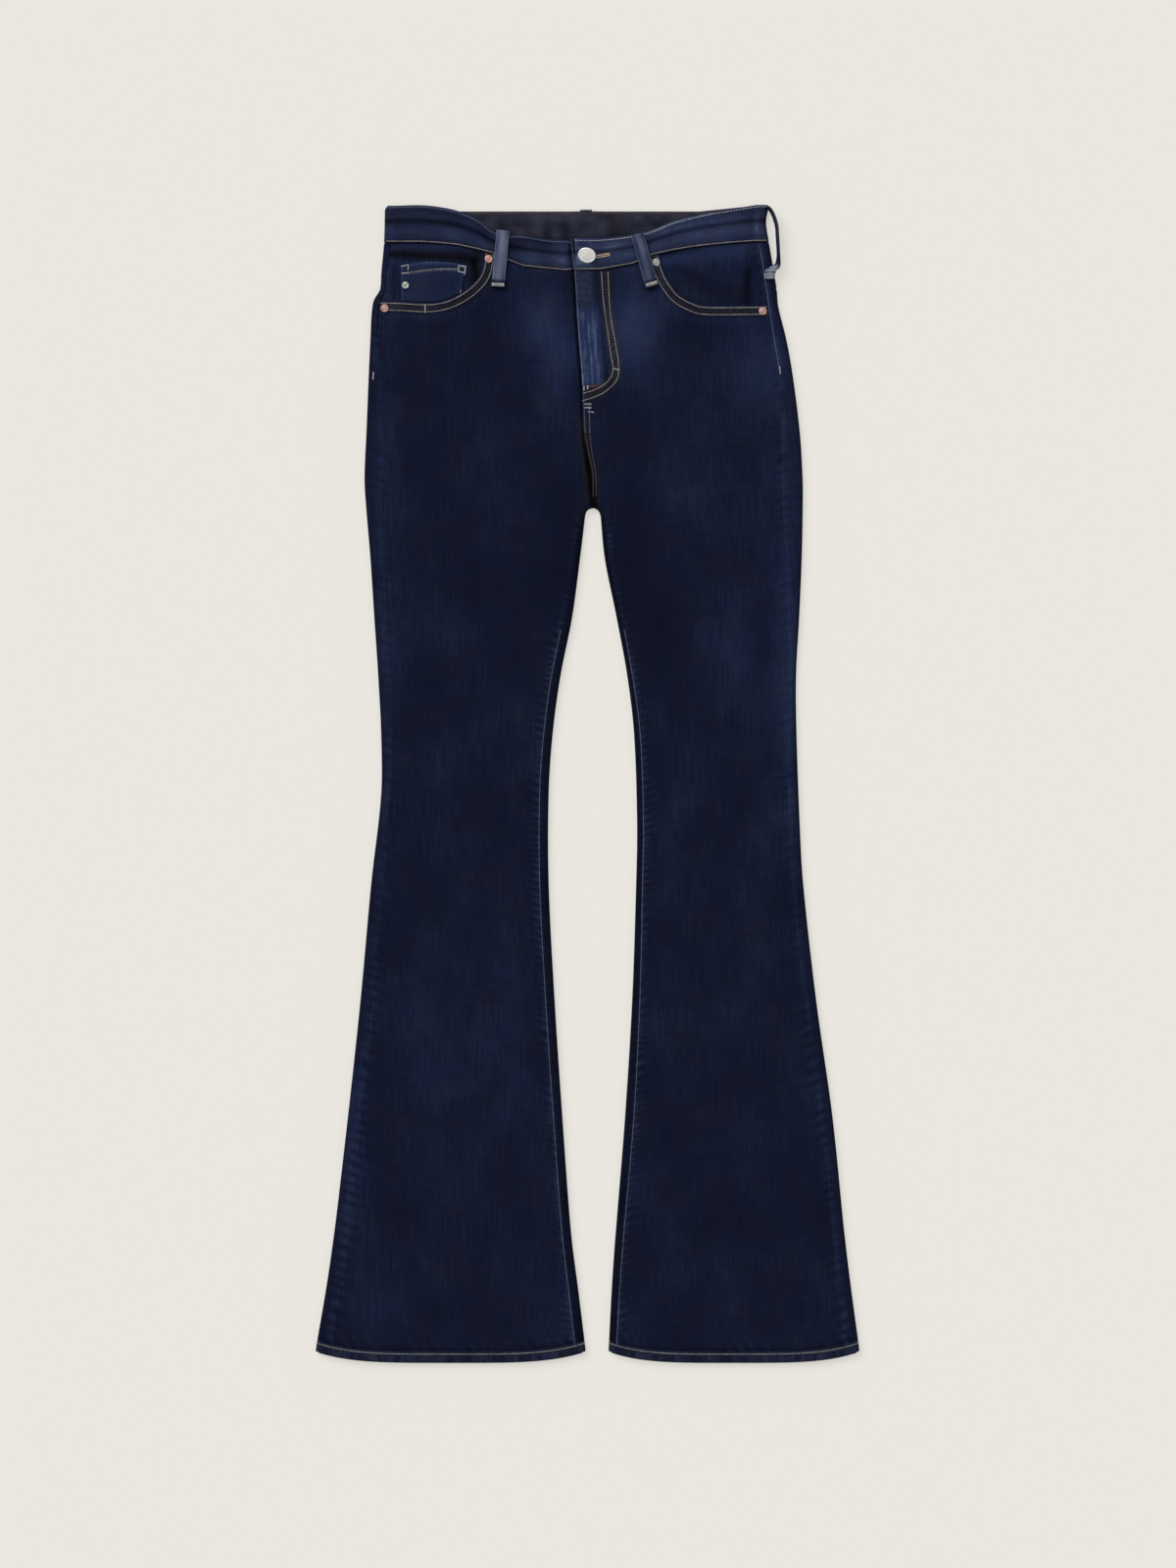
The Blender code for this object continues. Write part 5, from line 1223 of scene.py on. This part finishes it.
def stitchTree():    # one stitch at each step along the paths
    tree = bpy.data.node_groups.new("stitches", "GeometryNodeTree")
    for name, kind, value in (("Geometry", "NodeSocketGeometry", None), ("Pitch", "NodeSocketFloat", 0.003),
                              ("Size", "NodeSocketVector", None), ("Uneven", "NodeSocketFloat", 0.1),
                              ("Seed", "NodeSocketInt", 1), ("Thread", "NodeSocketMaterial", None)):
        socket = tree.interface.new_socket(name, in_out="INPUT", socket_type=kind)
        if value is not None:
            socket.default_value = value
    tree.interface.new_socket("Geometry", in_out="OUTPUT", socket_type="NodeSocketGeometry")

    def node(kind, settings=None, inputs=None):
        return addNode(tree, kind, settings, inputs)

    given = node("NodeGroupInput").outputs
    path = node("GeometryNodeMeshToCurve", None, {"Mesh": given["Geometry"]})
    even = node("GeometryNodeResampleCurve", {"mode": "LENGTH"},
                {"Curve": path.outputs[0], "Length": given["Pitch"]})
    tangent = node("GeometryNodeInputTangent")
    turn = node("FunctionNodeAlignRotationToVector", {"axis": "X"}, {"Vector": tangent.outputs[0]})
    ball = node("GeometryNodeMeshUVSphere", None, {"Segments": 6, "Rings": 5, "Radius": 0.5})
    chance = node("FunctionNodeRandomValue", {"data_type": "FLOAT"}, {"Seed": given["Seed"]})
    vary = node("ShaderNodeMath", {"operation": "MULTIPLY_ADD"},
                {0: chance.outputs[1], 1: given["Uneven"], 2: 1.0})
    scale = node("ShaderNodeVectorMath", {"operation": "SCALE"}, {0: given["Size"], 3: vary.outputs[0]})
    many = node("GeometryNodeInstanceOnPoints", None, {
        "Points": even.outputs[0], "Instance": ball.outputs[0], "Rotation": turn.outputs[0],
        "Scale": scale.outputs[0]})
    real = node("GeometryNodeRealizeInstances", None, {0: many.outputs[0]})
    smooth = node("GeometryNodeSetShadeSmooth", None, {0: real.outputs[0]})
    finish = node("GeometryNodeSetMaterial", None,
                  {"Geometry": smooth.outputs[0], "Material": given["Thread"]})
    node("NodeGroupOutput", None, {0: finish.outputs[0]})
    return tree


stitches = stitchTree()
trees = {name: BVHTree.FromPolygons([v.co[:] for v in piece.data.vertices],
                                    [p.vertices[:] for p in piece.data.polygons])
         for name, piece in pieces.items() if name.endswith("_cloth")}


def dropOnto(names, points, up=True):    # the paths lie on the cloth
    names = [names] if isinstance(names, str) else names
    direction, start = (Vector((0, 0, -1)), 0.1) if up else (Vector((0, 0, 1)), -0.1)
    found = []
    for x, y in points:
        best = None
        for name in names:
            hit = trees[name].ray_cast(Vector((x * mm, y * mm, start)), direction)[0]
            if hit is not None and (best is None or (hit.z > best) == up):
                best = hit.z
        found.append(None if best is None else (x * mm, y * mm, best))
    return found


rows = {}


def sew(group, names, path, up=True, smooth=True, offset=sewing["lift"]):
    points = walk(path, sewing["step"], smoothAt if smooth else lineAt)
    rise = offset if up else sewing["sink"]    # underneath, the thread lies in the cloth
    line = [p and (p[0], p[1], p[2] + rise * mm) for p in dropOnto(names, points, up)]
    part = []
    for p in line + [None]:
        if p is None:
            if len(part) > 1:
                rows.setdefault(group, []).append(part)
            part = []
        else:
            part.append(p)


def stitchPiece(name, group, material, size, pitch):
    points, edges = [], []
    for part in rows[group]:
        edges += [(len(points) + k, len(points) + k + 1) for k in range(len(part) - 1)]
        points += part
    mesh = bpy.data.meshes.new(name)
    mesh.from_pydata(points, edges, [])
    piece = bpy.data.objects.new(name, mesh)
    scene.collection.objects.link(piece)
    modifier = piece.modifiers.new("stitches", "NODES")
    modifier.node_group = stitches
    values = {"Pitch": pitch * mm, "Size": [s * mm for s in size], "Uneven": sewing["uneven"],
              "Seed": sewing["seed"], "Thread": material}
    for socket in stitches.interface.items_tree:
        if socket.in_out == "INPUT" and socket.name in values:
            modifier[socket.identifier] = values[socket.name]
    depsgraph = bpy.context.evaluated_depsgraph_get()
    made = bpy.data.meshes.new_from_object(piece.evaluated_get(depsgraph), depsgraph=depsgraph)
    piece.modifiers.remove(modifier)
    piece.data = made
    made.name = name
    pieces[name] = piece
    return piece


def beside(path, distance):    # a path moved to its left
    path = np.array(path, float)
    run = np.gradient(path, axis=0)
    run /= np.linalg.norm(run, axis=1)[:, None]
    return path + distance * np.stack([-run[:, 1], run[:, 0]], 1)


def sewLine(group, names, x, y, up=True):
    sew(group, names, plan(x, y), up)


for side in sides:
    sign, front, back = side.sign, f"front_{side.name}_cloth", f"back_{side.name}_cloth"
    belt, yoke, pocket = "waistband_cloth", f"yoke_{side.name}_cloth", f"back_pocket_{side.name}_cloth"
    hemName = f"hem_{side.name}_cloth"
    for distance in (1.7, 8.4):    # the scoop runs from the side seam inwards
        sew("tan", front, beside(side.scoop[1:-1], sign * distance))
    ends = (-196.5, -17.0) if sign < 0 else (-11.0, 175.0)
    x = np.linspace(*ends, 90)
    sewLine("tan", belt, x, waistSeam(side, x) + 1.7)
    sewLine("pale" if sign > 0 else "dim", belt, x, bandAt(side, "top", x) - 2.0)
    if sign > 0:
        y = np.linspace(529, 404, 60)
        sewLine("dim", [yoke, back], outseamX(side, y) + sign * 1.3, y)
    y = np.linspace(150, hemTopY + 4, 240)
    sewLine("dim", front, innerEdge(side, y) + sign * 1.2, y)
    bottom = garment["hemY"]
    ends = (float(outerFold(side, bottom)) - sign * 2.2, float(innerFold(side, bottom)) + sign * 2.2)
    x = np.linspace(*ends, 120)
    for up in (True, False):
        sewLine("hem", hemName, x, rowHeight(side, bottom + 8.7, 1.0, x), up)
    # the back, which lies underneath
    x = np.linspace(garment["crotchX"] + sign * 2, float(outerFold(side, 487)) - sign * 3, 80)
    for distance in (1.8, 7.8):
        sewLine("tan", yoke, x, yokeSeam(side, x) + distance, False)
    half, low, top = under["pocketWidth"] / 2, under["pocketLowWidth"] / 2, under["pocketTop"]
    for inset in (2.0, 7.5):
        corner = (low - inset * 0.9, under["pocketCornerY"] + inset * 0.4)
        point = (0, under["pocketBottom"] + inset * 1.15)
        outline = [(-half + inset, top - 1), (-corner[0], corner[1]), point, corner, (half - inset, top - 1)]
        sew("tan", pocket, [(side.pocketX + x, y) for x, y in outline], False, False)
    for drop in (2.0, 12.0):
        sew("tan", pocket, [(side.pocketX + x, top - drop) for x in (2 - half, half - 2)], False)
x = np.linspace(-175, 160, 120)
sewLine("tan", "waistband_cloth", x, backLine(x, "seam", garment["backSeamY"]) + 1.8, False)
sewLine("tan", "waistband_cloth", x, backLine(x, "top", garment["backTopY"]) - 2.0, False)
sewLine("brown", "waistband_cloth", np.linspace(-118, 134, 90), 561.9)
y = np.linspace(444, 268, 60)
for distance in (1.8, 7.6):
    sewLine("tan", "back_right_cloth", garment["crotchX"] - distance, y, False)
legs = ["front_left_cloth", "front_right_cloth"]
coinRow = [(-176.1, 502.9), (-166, 504.4), (-153.9, 505.9), (-140, 506.6), (-127.0, 506.4)]
for group, names, path in (
        ("tan", legs[0], flyInner), ("tan", legs[0], flyOuter),
        ("dim", legs[0], [(x + 1.2, y) for y, x in centreLine[:3]]),
        ("dim", legs, [(-3.4, 376.0), (-3.0, 362.0), (-2.2, 346.0)]),
        ("dim", legs[0], [(1.6, 374.0), (1.8, 362.0), (2.4, 346.0)]),
        ("seam", legs, [(-2.2, 345.0), (1.2, 326.0), (5.2, 306.0), (5.6, 290.0), (5.6, 284.0)]),
        ("seam", legs[0], [(2.4, 345.0), (4.4, 326.0), (8.0, 306.0), (8.6, 290.0), (8.6, 285.0)]),
        ("tan", "coin_pocket_cloth", coinRow),
        ("dim", "coin_pocket_cloth", [(x, y - 1.5) for x, y in coinRow])):
    sew(group, names, path)
sew("tan", "coin_pocket_cloth", [(-120.4, 502.6), (-124.9, 484.0)], smooth=False)
sew("dim", "waistband_cloth", [(-12.9, 507.0), (-15.7, 534.5)], smooth=False)

tacks = [    # the cloth that the bar tacks are on, and the ends of each
    ("tack", "coin_pocket_cloth", [(-182.6, 509.2, -176.4, 510.4), (-176.2, 510.4, -176.4, 505.6),
                                   (-182.6, 502.2, -176.4, 502.6), (-126.9, 509.8, -119.8, 508.6),
                                   (-119.9, 508.4, -120.6, 503.0), (-126.9, 504.0, -120.9, 502.8),
                                   (-126.7, 509.4, -127.0, 504.2)]),
    ("tack", "front_right_cloth", [(-159.7, 471.4, -159.7, 463.6)]),
    ("tack", "loop_side_left_cloth", [(174.8, 508.2, 186.0, 508.2), (174.2, 505.0, 185.6, 505.0),
                                      (173.8, 500.8, 184.4, 500.8), (173.4, 498.2, 184.2, 498.2)]),
    ("tack", "back_right_cloth", [(-211.0, 398.0, -210.6, 405.0)]),
    ("tack", "back_left_cloth", [(189.6, 404.0, 189.0, 410.6)]),
    ("tack", "front_left_cloth", [(25.4, 408.6, 31.2, 407.4), (-3.4, 387.2, -3.4, 391.4),
                                  (0.2, 388.4, 0.2, 391.8), (-2.4, 373.8, 3.8, 373.6),
                                  (-2.4, 370.2, 3.8, 370.0), (0.6, 366.2, 6.2, 365.6)]),
    ("rollTack", "loop_front_right_cloth", [(-93.6, 491.2, -82.2, 490.6)]),
    ("rollTack", "loop_front_left_cloth", [(56.8, 489.9, 68.2, 493.3)]),
    ("redTack", "front_left_cloth", [(1.2, 390.6, 9.4, 391.6)]),
]
for group, name, ends in tacks:
    for x0, y0, x1, y1 in ends:
        sew(group, name, [(x0, y0), (x1, y1)], smooth=False, offset=sewing["tackLift"])
buttonhole = {"start": (8.2, 518.2), "end": (20.8, 520.6), "half": 1.0}
start, end = np.array(buttonhole["start"]), np.array(buttonhole["end"])
run = (end - start) / np.linalg.norm(end - start) * buttonhole["half"]
side = np.array([-run[1], run[0]])
turn = np.linspace(-0.5, 0.5, 9) * np.pi
loop = [start + side] + [end + run * np.cos(a) - side * np.sin(a) for a in turn] + [start - side]
sew("hole", "waistband_cloth", loop, smooth=False, offset=sewing["holeLift"])

for name, group, thread, size, pitch in (    # a stitch's length, width and height
        ("topstitch_tan", "tan", "tan", (3.4, 1.0, 1.0), "pitch"),
        ("topstitch_dim", "dim", "dim", (3.4, 1.0, 1.0), "pitch"),
        ("topstitch_seam", "seam", "seam", (3.4, 1.0, 1.0), "pitch"),
        ("topstitch_pale", "pale", "pale", (2.3, 0.8, 0.7), "pitch"),
        ("topstitch_hem", "hem", "cream", (3.0, 0.9, 0.76), "pitch"),
        ("topstitch_inside", "brown", "brown", (2.9, 0.9, 0.7), "pitch"),
        ("bar_tacks", "tack", "pale", (0.5, 1.4, 0.6), "tackPitch"),
        ("bar_tacks_loops", "rollTack", "roll", (0.9, 3.9, 3.2), "tackPitch"),
        ("bar_tacks_red", "redTack", "red", (0.5, 2.6, 0.6), "tackPitch"),
        ("buttonhole_stitches", "hole", "buttonhole", (0.5, 1.5, 0.7), "holePitch")):
    stitchPiece(name, group, threads[thread], size, sewing[pitch])

print("fitting to the frame")
standsFor = {"coin_pocket_cloth": "coin_pocket", "waistband_cloth": "waistband", "button_metal": "button",
             "stud_metal": "coin_pocket_stud"}
for side in sides:
    for part, node in (("front", "front_panel"), ("back", "back_panel"), ("yoke", "back_yoke"),
                       ("facing", "pocket_facing"), ("hem", "hem"), ("back_pocket", "back_pocket")):
        standsFor[f"{part}_{side.name}_cloth"] = f"{node}_{side.name}"
for place in ("front_right", "front_left", "side_left", "side_right", "centre_back"):
    standsFor[f"loop_{place}_cloth"] = f"belt_loop_{place}"
for name in metal["rivets"]:
    standsFor[f"{name}_metal"] = name
for name, piece in pieces.items():
    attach(piece, "root")
    if name in standsFor:
        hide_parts(standsFor[name])

bandTrim = ["topstitch_pale", "topstitch_inside", "bar_tacks_loops", "buttonhole_stitches"]
bandTrim += [name for name in pieces if name.startswith("loop_")]

print("room")
paper = bpy.data.meshes.new("floor")
half, level = room["size"] / 2, -room["drop"] * mm
corners = [(x * half, y * half, level) for x, y in ((-1, -1), (1, -1), (1, 1), (-1, 1))]
paper.from_pydata(corners, [], [(0, 1, 2, 3)])
paper.materials.append(floorFinish("floor_paper", room["floor"]))
floor = bpy.data.objects.new("floor", paper)
scene.collection.objects.link(floor)

world = bpy.data.worlds.new("studio")
scene.world = world
world.use_nodes = True
background = world.node_tree.nodes["Background"].inputs
background["Color"].default_value = (1.0, 0.995, 0.985, 1)
background["Strength"].default_value = room["world"]

sun = bpy.data.lights.new("soft_window", "SUN")
sun.energy, sun.angle = room["sun"], math.radians(room["softness"])
lamp = bpy.data.objects.new("soft_window", sun)
lamp.rotation_euler = Vector(room["from"]).to_track_quat("Z", "Y").to_euler()
scene.collection.objects.link(lamp)

photo = {"height": 1.544, "distance": 6.0, "sensor": 36.0}    # the view's height at the garment
cameraData = bpy.data.cameras.new("camera")
cameraData.sensor_width = photo["sensor"]
cameraData.lens = photo["sensor"] * photo["distance"] / photo["height"]
cameraData.clip_end = 100
camera = bpy.data.objects.new("camera", cameraData)
camera.location = (0.0005, 0, photo["distance"])
scene.collection.objects.link(camera)
scene.camera = camera
scene.view_settings.view_transform = "Standard"
